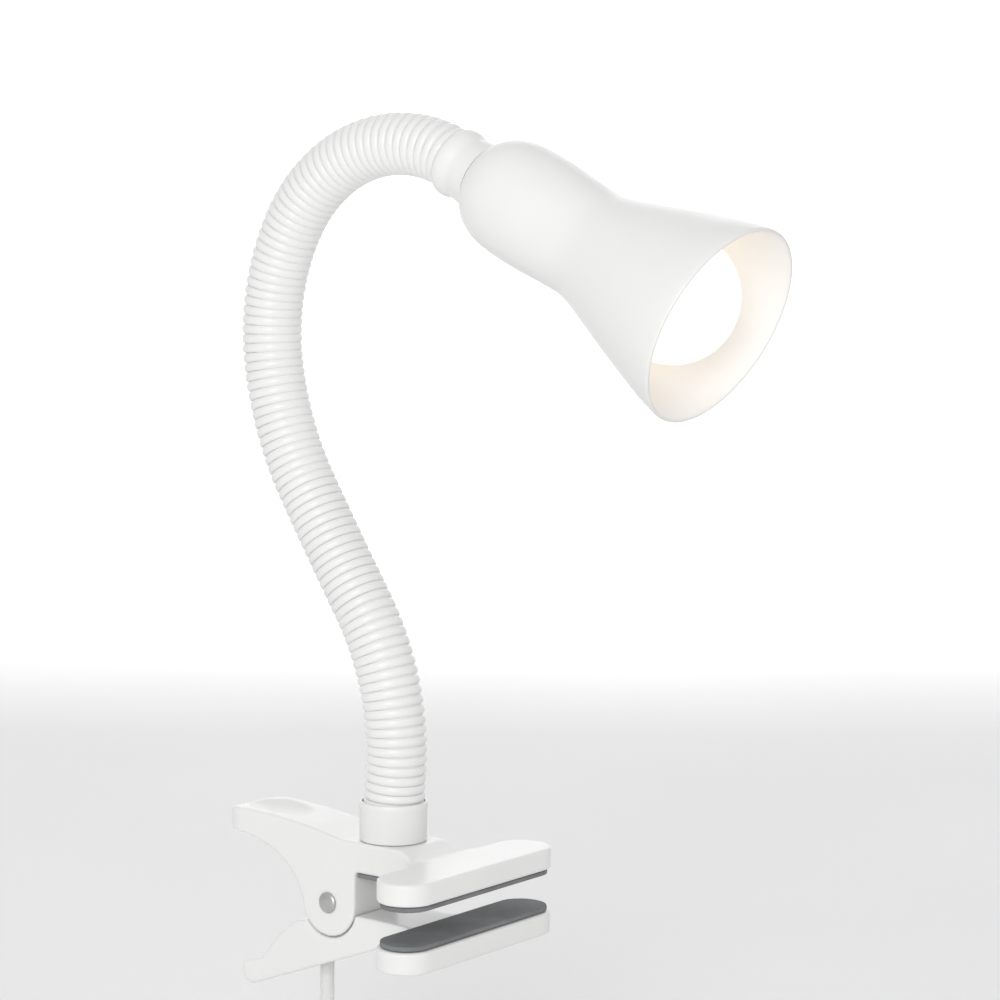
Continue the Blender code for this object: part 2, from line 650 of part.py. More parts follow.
# ---------------------------------------------------------------- the cord and what is on it
CORD_Z = FLOOR_Z + CORD_R
COIL_OUTER_R = COIL_MEAN_R + (COIL_TURNS_ACROSS - 1) * CORD_R + CORD_R
COIL_TOP_Z = FLOOR_Z + COIL_LAYERS * 2 * CORD_R
SWITCH_AT = (-52.0 * MM, -46.0 * MM)
SWITCH_LONG = 62.0 * MM
SWITCH_WIDE = 26.0 * MM
SWITCH_LOW_TALL = 8.0 * MM
SWITCH_TALL = 17.0 * MM
ROCKER_AT_Z = FLOOR_Z + 14.8 * MM
ROCKER_TILT = math.radians(10)
PLUG_AT = (-6.0 * MM, 36.0 * MM)
PLUG_LONG = 37.0 * MM

CORD_FROM_CLAMP = (
    (CORD_X, 0.0, RELIEF_BOTTOM - GAP),
    (CORD_X, 0.0, -45 * MM),
    (CORD_X, 0.0, -60 * MM),
    (CORD_X - 1.5 * MM, 0.0, -73 * MM),
    (CORD_X - 7 * MM, -0.5 * MM, -84 * MM),
    (CORD_X - 16 * MM, -2 * MM, -92.5 * MM),
    (CORD_X - 27 * MM, -5 * MM, -96.9 * MM),
    (CORD_X - 38 * MM, -11 * MM, CORD_Z),
    (CORD_X - 45 * MM, -21 * MM, CORD_Z),
    (CORD_X - 44 * MM, -33 * MM, CORD_Z),
    (CORD_X - 35 * MM, -42.5 * MM, CORD_Z),
    (CORD_X - 24 * MM, -46 * MM, CORD_Z),
    (SWITCH_AT[0] - SWITCH_LONG / 2 - GAP, SWITCH_AT[1], CORD_Z),
)
CORD_TO_COIL = (
    (SWITCH_AT[0] + SWITCH_LONG / 2 + GAP, SWITCH_AT[1], CORD_Z),
    (-14 * MM, -46.5 * MM, CORD_Z),
    (-6 * MM, -48 * MM, CORD_Z),
    (3 * MM, -50 * MM, CORD_Z),
    (13 * MM, -51.5 * MM, CORD_Z),
    (22 * MM, -52 * MM, CORD_Z),
    (COIL_AT[0] - 6 * MM, COIL_AT[1] - COIL_OUTER_R - CORD_R - GAP, CORD_Z),
    (COIL_AT[0] + 4 * MM, COIL_AT[1] - COIL_OUTER_R - CORD_R - GAP, CORD_Z),
)
CORD_TO_PLUG = (
    (COIL_AT[0] + 2 * MM, COIL_AT[1] + COIL_OUTER_R + CORD_R + GAP, CORD_Z),
    (COIL_AT[0] - 8 * MM, COIL_AT[1] + COIL_OUTER_R + CORD_R + GAP, CORD_Z),
    (20 * MM, 37.2 * MM, CORD_Z + 0.6 * MM),
    (11 * MM, 36.4 * MM, CORD_Z + 2.6 * MM),
    (3 * MM, 36.0 * MM, CORD_Z + 4.2 * MM),
    (PLUG_AT[0] + GAP, PLUG_AT[1], CORD_Z + 4.4 * MM),
)


def rounded(centre, size, radius, count=3):
    """A rectangle with round corners, as an outline from above."""
    x, y = size[0] / 2 - radius, size[1] / 2 - radius
    corners = ((x, y, 0), (-x, y, 90), (-x, -y, 180), (x, -y, 270))
    outline = []
    for dx, dy, turn in corners:
        outline += arc((centre[0] + dx, centre[1] + dy), radius, turn, turn + 90, count)
    return outline


def build_cord():
    tube("cord_from_clamp", smooth(CORD_FROM_CLAMP, 2), CORD_R, CABLE)
    tube("cord_to_coil", smooth(CORD_TO_COIL, 1), CORD_R, CABLE)
    tube("cord_to_plug", smooth(CORD_TO_PLUG, 2), CORD_R, CABLE)
    inner = COIL_MEAN_R - COIL_TURNS_ACROSS * CORD_R
    at = Matrix.Translation((*COIL_AT, 0.0))
    turned("cord_coil", ring_profile(COIL_OUTER_R, inner, FLOOR_Z, COIL_TOP_Z), CABLE, at, 32)


def build_switch():
    """An in-line rocker switch: two housing halves, a rocker in a window, and a screw."""
    size = (SWITCH_LONG, SWITCH_WIDE)
    low_top = FLOOR_Z + SWITCH_LOW_TALL
    lower = slab("switch_lower_housing", rounded(SWITCH_AT, size, 9 * MM), FLOOR_Z, low_top, False, WHITE)
    top = FLOOR_Z + SWITCH_TALL
    upper = slab("switch_upper_housing", rounded(SWITCH_AT, size, 9 * MM), low_top + GAP, top, False, WHITE)
    window = block(
        "cut_rocker_window",
        (SWITCH_AT[0] - 9.2 * MM, SWITCH_AT[1] - 5.6 * MM, low_top - 3 * MM),
        (SWITCH_AT[0] + 9.2 * MM, SWITCH_AT[1] + 5.6 * MM, top + 5 * MM),
    )
    combine(upper, window, "DIFFERENCE")
    combine(lower, window, "DIFFERENCE")
    half = [(0.0, 1.7), (4.5, 2.1), (8.0, 3.2), (8.4, 2.6), (7.4, -1.5), (3.0, -4.4)]
    rocker = half + [(-x, z) for x, z in reversed(half) if x]
    outline = [(x * MM, z * MM) for x, z in rocker]
    solid = slab("switch_rocker", outline, -5.2 * MM, 5.2 * MM, True, WHITE)
    at = Matrix.Translation((*SWITCH_AT, ROCKER_AT_Z))
    solid.matrix_world = at @ Matrix.Rotation(ROCKER_TILT, 4, "Y")
    for side, label in ((1, "right"), (-1, "left")):
        spot = (SWITCH_AT[0] + side * 22 * MM, SWITCH_AT[1], 0.0)
        at = Matrix.Translation(spot)
        drill(lower, f"cut_screw_{label}", 2.9 * MM, FLOOR_Z - 2 * MM, FLOOR_Z + 3 * MM, at, 10)
        shank = [(0.0, FLOOR_Z + 2.7 * MM), (2.5 * MM, FLOOR_Z + 2.7 * MM), (2.5 * MM, FLOOR_Z + 0.8 * MM)]
        shank += [(0.0, FLOOR_Z + 0.8 * MM)]
        turned(f"switch_screw_{label}", shank, STEEL, at, 8, False)


def build_plug():
    """A flat two-pin plug that lies beside the coil."""
    x, y = PLUG_AT
    z = CORD_Z + 4.4 * MM
    outline = [(x, y + 5 * MM), (x - 10 * MM, y + 9 * MM), (x - 24 * MM, y + 16.5 * MM)]
    outline += [(x - PLUG_LONG, y + 17.5 * MM), (x - PLUG_LONG, y - 17.5 * MM)]
    outline += [(x - 24 * MM, y - 16.5 * MM), (x - 10 * MM, y - 9 * MM), (x, y - 5 * MM)]
    slab("plug_body", outline, FLOOR_Z, FLOOR_Z + 14 * MM, False, WHITE)
    lying = Matrix.Rotation(math.radians(90), 4, "Y")
    for side, label in ((1, "left"), (-1, "right")):
        at = Matrix.Translation((x - PLUG_LONG, y + side * 9.3 * MM, z)) @ lying
        pin = [(0.0, -GAP), (2.0 * MM, -GAP), (2.0 * MM, -18 * MM), (1.2 * MM, -19 * MM), (0.0, -19 * MM)]
        turned(f"plug_pin_{label}", pin, BRASS, at, 10, False)


# ---------------------------------------------------------------- the lamp
def main():
    build_upper_arm()
    build_lower_arm()
    build_pads()
    build_pivot()
    build_spring()
    build_strain_relief()
    build_clamp_leads()
    build_neck_base()
    build_neck()
    build_head()
    build_cord()
    build_switch()
    build_plug()


clear_scene()
LAMP = new_collection(NAME)
CUTTERS = new_collection(NAME + "_cutters", True)
WHITE = finish("white_satin_plastic", (0.86, 0.86, 0.85), 0.42)
RUBBER = finish("grey_rubber", (0.34, 0.35, 0.36), 0.8)
STEEL = finish("zinc_plated_steel", (0.62, 0.62, 0.6), 0.35, 1.0)
BRASS = finish("brass_contact", (0.75, 0.6, 0.3), 0.3, 1.0)
ALUMINIUM = finish("aluminium_cap", (0.8, 0.8, 0.8), 0.35, 1.0)
BAKELITE = finish("white_lampholder", (0.84, 0.83, 0.8), 0.5)
CERAMIC = finish("ceramic_block", (0.88, 0.87, 0.83), 0.55)
OPAL = finish("opal_glass", (1.0, 0.93, 0.8), 0.25)
CABLE = finish("white_cable", (0.85, 0.85, 0.84), 0.5)
main()
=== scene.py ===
"""The looks of a clip-on reading lamp: ribbed neck, bell shade, lit bulb, spring clamp and cord.

Everything is in metres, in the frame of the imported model: +X is the way that the jaws and the shade
point, +Z is up, and the origin is the middle of the upper jaw pad's contact face.
"""

import json
import logging
import math
from collections.abc import Callable, Sequence
from dataclasses import dataclass, field
from enum import Enum

import bmesh
import bpy
from mathutils import Matrix, Vector


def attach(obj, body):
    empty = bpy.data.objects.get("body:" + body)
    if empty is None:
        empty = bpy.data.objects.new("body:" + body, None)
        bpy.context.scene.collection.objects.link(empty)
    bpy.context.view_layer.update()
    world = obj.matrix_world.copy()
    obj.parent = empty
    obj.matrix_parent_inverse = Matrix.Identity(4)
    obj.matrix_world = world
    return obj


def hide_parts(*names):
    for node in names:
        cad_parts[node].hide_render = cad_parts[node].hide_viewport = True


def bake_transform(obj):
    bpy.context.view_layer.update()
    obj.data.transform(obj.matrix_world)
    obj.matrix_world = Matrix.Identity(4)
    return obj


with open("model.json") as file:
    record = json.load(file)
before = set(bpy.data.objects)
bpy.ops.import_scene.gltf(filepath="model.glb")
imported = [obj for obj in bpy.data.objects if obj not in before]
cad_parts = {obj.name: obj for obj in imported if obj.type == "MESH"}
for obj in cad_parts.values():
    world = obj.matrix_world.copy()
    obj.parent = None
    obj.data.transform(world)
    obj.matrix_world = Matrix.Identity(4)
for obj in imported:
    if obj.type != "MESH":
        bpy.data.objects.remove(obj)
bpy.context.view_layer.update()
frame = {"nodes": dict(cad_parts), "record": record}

log = logging.getLogger("reading_lamp")

MM = 0.001
NECK_X = -33.5 * MM
FLOOR_Z = -100.0 * MM
GAP = 0.3 * MM  # between a cord and what it enters

Point = tuple[float, float, float]
Profile = list[tuple[float, float]]


class Body(Enum):
    """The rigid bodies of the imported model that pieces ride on."""

    CLAMP = "clamp_base"
    LOWER_JAW = "lower_jaw"
    HEAD = "head"
    ROCKER = "rocker"


class Slot(Enum):
    """The record's material slots."""

    WHITE = "white_plastic"
    SLEEVE = "sleeve_plastic"
    PAD = "pad_rubber"
    RELIEF = "relief_rubber"
    STEEL = "steel"
    BRASS = "brass"
    CAP = "cap_metal"
    HOLDER = "holder_plastic"
    CERAMIC = "ceramic"
    GLASS = "opal_glass"
    CABLE = "cable_plastic"


# ---------------------------------------------------------------- finishes
class Wiring:
    """A small helper that adds and joins the shader nodes of one material."""

    def __init__(self, name: str) -> None:
        """Start a material with its own Principled shader.

        Args:
            name: the material's name.
        """
        self.material = bpy.data.materials.new(name)
        self.material.use_nodes = True
        self.tree = self.material.node_tree
        self.shader = self.tree.nodes["Principled BSDF"]
        self.place = self.tree.nodes.new("ShaderNodeTexCoord").outputs["Object"]

    def node(self, kind: str, **values: object) -> bpy.types.Node:
        """Add a node.

        Args:
            kind: the node's type without its ShaderNode prefix.
            values: input values by name, with spaces written as underscores.

        Returns:
            The new node.
        """
        made = self.tree.nodes.new("ShaderNode" + kind)
        for key, value in values.items():
            made.inputs[key.replace("_", " ")].default_value = value
        return made

    def join(self, source: bpy.types.NodeSocket, target: bpy.types.NodeSocket) -> None:
        """Link one socket to another."""
        self.tree.links.new(source, target)

    def noise(
        self, scale: float, detail: float = 2.0, stretch: Point = (1.0, 1.0, 1.0)
    ) -> bpy.types.NodeSocket:
        """Noise over the piece's own coordinates.

        Args:
            scale: the noise's scale, in features per metre.
            detail: octaves of detail.
            stretch: scale along each axis, for brushed or drawn surfaces.

        Returns:
            The noise's factor socket.
        """
        mapping = self.node("Mapping", Scale=stretch)
        self.join(self.place, mapping.inputs["Vector"])
        made = self.node("TexNoise", Scale=scale, Detail=detail)
        self.join(mapping.outputs["Vector"], made.inputs["Vector"])
        return made.outputs["Fac"]

    def spread(self, source: bpy.types.NodeSocket, low: float, high: float) -> bpy.types.NodeSocket:
        """A factor mapped to a range of values."""
        made = self.node("MapRange", To_Min=low, To_Max=high)
        self.join(source, made.inputs["Value"])
        return made.outputs["Result"]

    def tints(self, source: bpy.types.NodeSocket, dark: Point, light: Point) -> None:
        """Colour the shader between two near shades.

        Args:
            source: the factor socket.
            dark: colour where the factor is low.
            light: colour where the factor is high.
        """
        ramp = self.tree.nodes.new("ShaderNodeValToRGB")
        ramp.color_ramp.elements[0].position = 0.35
        ramp.color_ramp.elements[0].color = (*dark, 1.0)
        ramp.color_ramp.elements[1].position = 0.65
        ramp.color_ramp.elements[1].color = (*light, 1.0)
        self.join(source, ramp.inputs["Fac"])
        self.join(ramp.outputs["Color"], self.shader.inputs["Base Color"])

    def relief(self, source: bpy.types.NodeSocket, depth: float, strength: float) -> None:
        """Bump the shader by a height map.

        Args:
            source: the height socket.
            depth: its height in metres.
            strength: how much of it shows, 0 to 1.
        """
        bump = self.node("Bump", Strength=strength, Distance=depth)
        self.join(source, bump.inputs["Height"])
        self.join(bump.outputs["Normal"], self.shader.inputs["Normal"])


def shade(colour: Point, factor: float) -> Point:
    """A colour made darker or lighter by a factor."""
    return tuple(min(1.0, part * factor) for part in colour)


@dataclass(frozen=True)
class MouldedPlastic:
    """Injection-moulded plastic: a fine satin grain, faint flow marks and a soft sheen."""

    name: str
    colour: Point
    roughness: float = 0.38
    grain_per_metre: float = 2600.0
    grain_depth: float = 0.03 * MM
    gloss_layer: float = 0.12

    def make(self) -> bpy.types.Material:
        """Return the finished material."""
        wiring = Wiring(self.name)
        flow = wiring.noise(22.0, 3.0)
        wiring.tints(flow, shade(self.colour, 0.975), self.colour)
        patches = wiring.noise(140.0, 2.0)
        rough = wiring.spread(patches, self.roughness - 0.05, self.roughness + 0.06)
        wiring.join(rough, wiring.shader.inputs["Roughness"])
        wiring.shader.inputs["Coat Weight"].default_value = self.gloss_layer
        wiring.shader.inputs["Coat Roughness"].default_value = 0.2
        wiring.relief(wiring.noise(self.grain_per_metre, 2.0), self.grain_depth, 0.25)
        return wiring.material


@dataclass(frozen=True)
class TexturedRubber:
    """Rubber with a pebbled skin and a dusty bloom."""

    name: str
    colour: Point
    roughness: float = 0.78
    pebbles_per_metre: float = 1500.0

    def make(self) -> bpy.types.Material:
        """Return the finished material."""
        wiring = Wiring(self.name)
        wiring.tints(wiring.noise(60.0, 4.0), shade(self.colour, 0.85), shade(self.colour, 1.1))
        cells = wiring.node("TexVoronoi", Scale=self.pebbles_per_metre)
        wiring.join(wiring.place, cells.inputs["Vector"])
        wiring.relief(cells.outputs["Distance"], 0.12 * MM, 0.6)
        rough = wiring.spread(wiring.noise(300.0), self.roughness - 0.08, self.roughness + 0.08)
        wiring.join(rough, wiring.shader.inputs["Roughness"])
        return wiring.material


@dataclass(frozen=True)
class WorkedMetal:
    """Plated, drawn or stamped metal, with fine marks along one axis."""

    name: str
    colour: Point
    roughness: float = 0.3
    marks: Point = (1.0, 1.0, 12.0)

    def make(self) -> bpy.types.Material:
        """Return the finished material."""
        wiring = Wiring(self.name)
        wiring.shader.inputs["Metallic"].default_value = 1.0
        wiring.tints(wiring.noise(90.0, 4.0), shade(self.colour, 0.82), self.colour)
        fine = wiring.noise(900.0, 3.0, self.marks)
        wiring.join(
            wiring.spread(fine, self.roughness - 0.1, self.roughness + 0.15),
            wiring.shader.inputs["Roughness"],
        )
        wiring.relief(fine, 0.02 * MM, 0.3)
        return wiring.material


@dataclass(frozen=True)
class GlazedCeramic:
    """A pressed ceramic block under a thin glaze."""

    name: str
    colour: Point

    def make(self) -> bpy.types.Material:
        """Return the finished material."""
        wiring = Wiring(self.name)
        wiring.tints(wiring.noise(700.0, 5.0), shade(self.colour, 0.9), self.colour)
        wiring.join(wiring.spread(wiring.noise(200.0), 0.4, 0.62), wiring.shader.inputs["Roughness"])
        wiring.shader.inputs["Coat Weight"].default_value = 0.4
        wiring.relief(wiring.noise(1400.0, 4.0), 0.05 * MM, 0.4)
        return wiring.material


@dataclass(frozen=True)
class LitOpalGlass:
    """Opal glass that glows a warm white, a little unevenly."""

    name: str
    colour: Point
    glow: Point
    strength: float

    def make(self) -> bpy.types.Material:
        """Return the finished material."""
        wiring = Wiring(self.name)
        wiring.tints(wiring.noise(45.0, 2.0), shade(self.colour, 0.97), self.colour)
        wiring.join(wiring.spread(wiring.noise(500.0), 0.12, 0.22), wiring.shader.inputs["Roughness"])
        wiring.shader.inputs["Coat Weight"].default_value = 0.5
        wiring.shader.inputs["Emission Color"].default_value = (*self.glow, 1.0)
        wiring.shader.inputs["Emission Strength"].default_value = self.strength
        return wiring.material


@dataclass(frozen=True)
class CableSheath:
    """Extruded cable sheath, satin, with faint drawing marks and scuffs."""

    name: str
    colour: Point
    roughness: float = 0.46

    def make(self) -> bpy.types.Material:
        """Return the finished material."""
        wiring = Wiring(self.name)
        wiring.tints(wiring.noise(80.0, 4.0), shade(self.colour, 0.95), self.colour)
        scuffs = wiring.spread(wiring.noise(420.0, 3.0), self.roughness - 0.06, self.roughness + 0.1)
        wiring.join(scuffs, wiring.shader.inputs["Roughness"])
        wiring.relief(wiring.noise(1800.0, 2.0), 0.02 * MM, 0.3)
        return wiring.material


OFF_WHITE: Point = (0.83, 0.83, 0.825)
FINISHES = {
    Slot.WHITE: MouldedPlastic("satin_white_plastic", OFF_WHITE),
    Slot.SLEEVE: MouldedPlastic("ribbed_sleeve_plastic", (0.84, 0.84, 0.835), 0.34, gloss_layer=0.2),
    Slot.PAD: TexturedRubber("grey_jaw_rubber", (0.2, 0.205, 0.21)),
    Slot.RELIEF: TexturedRubber("white_soft_rubber", (0.74, 0.74, 0.73), 0.6, 900.0),
    Slot.STEEL: WorkedMetal("zinc_plated_steel", (0.62, 0.62, 0.6)),
    Slot.BRASS: WorkedMetal("contact_brass", (0.78, 0.6, 0.3), 0.25),
    Slot.CAP: WorkedMetal("cap_aluminium", (0.8, 0.8, 0.79), 0.3, (1.0, 1.0, 4.0)),
    Slot.HOLDER: MouldedPlastic("lampholder_plastic", (0.78, 0.77, 0.74), 0.5, 1500.0),
    Slot.CERAMIC: GlazedCeramic("terminal_ceramic", (0.82, 0.8, 0.75)),
    Slot.GLASS: LitOpalGlass("lit_opal_glass", (0.95, 0.93, 0.88), (1.0, 0.87, 0.74), 0.78),
    Slot.CABLE: CableSheath("white_cable_sheath", (0.8, 0.8, 0.79)),
}
MATERIALS = {slot: finish.make() for slot, finish in FINISHES.items()}


# ---------------------------------------------------------------- mesh tools
def object_of(name: str, mesh: bpy.types.Mesh) -> bpy.types.Object:
    """Put a mesh in the scene as an object at the origin."""
    made = bpy.data.objects.new(name, mesh)
    bpy.context.scene.collection.objects.link(made)
    return made


def smooth_shaded(mesh: bpy.types.Mesh, crease: float = 35.0) -> None:
    """Shade a mesh smooth, keeping creases above an angle in degrees sharp."""
    mesh.shade_smooth()
    mesh.set_sharp_from_angle(angle=math.radians(crease))


def mesh_from(solid: bmesh.types.BMesh, name: str, at: Matrix, crease: float = 35.0) -> bpy.types.Object:
    """Finish a bmesh: move it into place, turn its faces out and shade it.

    Args:
        solid: the bmesh, freed afterwards.
        name: the piece's name.
        at: the matrix that puts it in place.
        crease: the angle in degrees above which an edge stays sharp.

    Returns:
        The new object.
    """
    bmesh.ops.transform(solid, matrix=at, verts=solid.verts)
    bmesh.ops.recalc_face_normals(solid, faces=solid.faces)
    mesh = bpy.data.meshes.new(name)
    solid.to_mesh(mesh)
    solid.free()
    smooth_shaded(mesh, crease)
    return object_of(name, mesh)


def turned(
    name: str, profile: Profile, at: Matrix, steps: int = 64, ring: bool = False, crease: float = 35.0
) -> bpy.types.Object:
    """Turn a profile about its Z axis.

    Args:
        name: the piece's name.
        profile: (radius, height) points in metres.
        at: the matrix of the piece's axis.
        steps: sides of the turned piece.
        ring: whether the profile closes on itself; otherwise both ends are on the axis.
        crease: the angle in degrees above which an edge stays sharp.

    Returns:
        The new object.
    """
    solid = bmesh.new()
    rows = []
    for radius, height in profile:
        if radius < 1e-7:
            rows.append([solid.verts.new((0.0, 0.0, height))] * steps)
            continue
        turns = [2 * math.pi * k / steps for k in range(steps)]
        rows.append([solid.verts.new((radius * math.cos(a), radius * math.sin(a), height)) for a in turns])
    pairs = list(zip(rows, rows[1:], strict=False))
    if ring:
        pairs.append((rows[-1], rows[0]))
    for lower, upper in pairs:
        for k in range(steps):
            n = (k + 1) % steps
            corners = list(dict.fromkeys((lower[k], lower[n], upper[n], upper[k])))
            if len(corners) > 2:
                solid.faces.new(corners)
    return mesh_from(solid, name, at, crease)


def arc(centre: tuple[float, float], radius: float, start: float, end: float, count: int) -> Profile:
    """Points on an arc, ends included; angles in degrees."""
    steps = [math.radians(start + (end - start) * k / count) for k in range(count + 1)]
    return [(centre[0] + radius * math.cos(a), centre[1] + radius * math.sin(a)) for a in steps]


def smooth(points: Sequence[Sequence[float]], count: int) -> list[Vector]:
    """A Catmull-Rom curve through points, with count steps between neighbours."""
    spots = [Vector(p) for p in points]
    ends = [spots[0] * 2 - spots[1], *spots, spots[-1] * 2 - spots[-2]]
    curve = []
    for a, b, c, d in zip(ends, ends[1:], ends[2:], ends[3:], strict=False):
        for k in range(count):
            t = k / count
            bend = (a * 2 - b * 5 + c * 4 - d) * t * t + (b * 3 - a - c * 3 + d) * t * t * t
            curve.append(b + ((c - a) * t + bend) * 0.5)
    return [*curve, spots[-1]]


def walled(outer: Profile, wall: float, rim_steps: int = 4) -> Profile:
    """A closed profile of even thickness inside an open one, with a round rim at its first end.

    Args:
        outer: the outer side, from its mouth inwards.
        wall: the thickness in metres.
        rim_steps: points round the rim.

    Returns:
        The closed profile.
    """
    sides = [Vector(p) for p in outer]
    inner = []
    for k, spot in enumerate(sides):
        way = (sides[min(k + 1, len(sides) - 1)] - sides[max(k - 1, 0)]).normalized()
        inner.append(spot + Vector((way.y, -way.x)) * wall)
    if inner[0].x > sides[0].x:
        inner = [spot * 2 - other for spot, other in zip(sides, inner, strict=True)]
    middle = (sides[0] + inner[0]) / 2
    half = (sides[0] - inner[0]) / 2
    out = (sides[0] - sides[1]).normalized() * half.length
    rim = []
    for k in range(1, rim_steps):
        a = math.pi * k / rim_steps
        rim.append(middle - half * math.cos(a) + out * math.sin(a))
    return [tuple(p) for p in [*sides, *reversed(inner), *rim]]


def wire(name: str, points: Sequence[Sequence[float]], radius: float, sides: int = 4) -> bpy.types.Object:
    """A round wire along points, as a plain mesh with closed ends.

    Args:
        name: the piece's name.
        points: its centreline.
        radius: its radius in metres.
        sides: the curve's bevel resolution.

    Returns:
        The new object.
    """
    curve = cord_curve(name + "_line", points, radius, sides)
    bpy.context.view_layer.update()
    mesh = bpy.data.meshes.new_from_object(curve.evaluated_get(bpy.context.evaluated_depsgraph_get()))
    bpy.data.objects.remove(curve, do_unlink=True)
    solid = bmesh.new()
    solid.from_mesh(mesh)
    bmesh.ops.remove_doubles(solid, verts=solid.verts, dist=1e-6)
    bpy.data.meshes.remove(mesh)
    return mesh_from(solid, name, Matrix())


def cord_curve(name: str, points: Sequence[Sequence[float]], radius: float, sides: int) -> bpy.types.Object:
    """A curve object of one open spline with a round section."""
    curve = bpy.data.curves.new(name, "CURVE")
    curve.dimensions = "3D"
    curve.bevel_depth = radius
    curve.bevel_resolution = sides
    curve.use_fill_caps = True
    spline = curve.splines.new("POLY")
    spline.points.add(len(points) - 1)
    for spot, point in zip(spline.points, points, strict=True):
        spot.co = (*point, 1.0)
    spline.use_smooth = True
    made = bpy.data.objects.new(name, curve)
    bpy.context.scene.collection.objects.link(made)
    return made


def moulded_copy(name: str, node: str, voxel: float, rounds: int, soften: float = 0.5) -> bpy.types.Object:
    """A finely meshed copy of a CAD solid, with its edges rounded as a mould leaves them.

    Args:
        name: the new piece's name.
        node: the CAD node.
        voxel: the remesh size in metres.
        rounds: passes of smoothing.
        soften: how far a point moves in each pass, 0 to 1.

    Returns:
        The new object.
    """
    solid = bmesh.new()
    solid.from_mesh(frame["nodes"][node].data)
    bmesh.ops.remove_doubles(solid, verts=solid.verts, dist=1e-6)
    mesh = bpy.data.meshes.new(name)
    solid.to_mesh(mesh)
    solid.free()
    made = object_of(name, mesh)
    remesh = made.modifiers.new("remesh", "REMESH")
    remesh.mode = "VOXEL"
    remesh.voxel_size = voxel
    remesh.use_smooth_shade = True
    round_off = made.modifiers.new("round_off", "SMOOTH")
    round_off.factor = soften
    round_off.iterations = rounds
    bpy.context.view_layer.update()
    evaluated = made.evaluated_get(bpy.context.evaluated_depsgraph_get())
    made.data = bpy.data.meshes.new_from_object(evaluated)
    made.modifiers.clear()
    made.data.name = name
    made.data.shade_smooth()
    return made


def finished(piece: bpy.types.Object, body: Body, slot: Slot, *nodes: str) -> bpy.types.Object:
    """Dress a piece, let it ride on a body and let it stand for CAD nodes.

    Args:
        piece: the piece, in its place.
        body: the body that it moves with.
        slot: its material slot.
        nodes: the CAD nodes that it replaces.

    Returns:
        The piece.
    """
    piece.data.materials.clear()
    piece.data.materials.append(MATERIALS[slot])
    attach(piece, body.value)
    if nodes:
        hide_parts(*nodes)
    log.info("%s rides on %s", piece.name, body.value)
    return piece


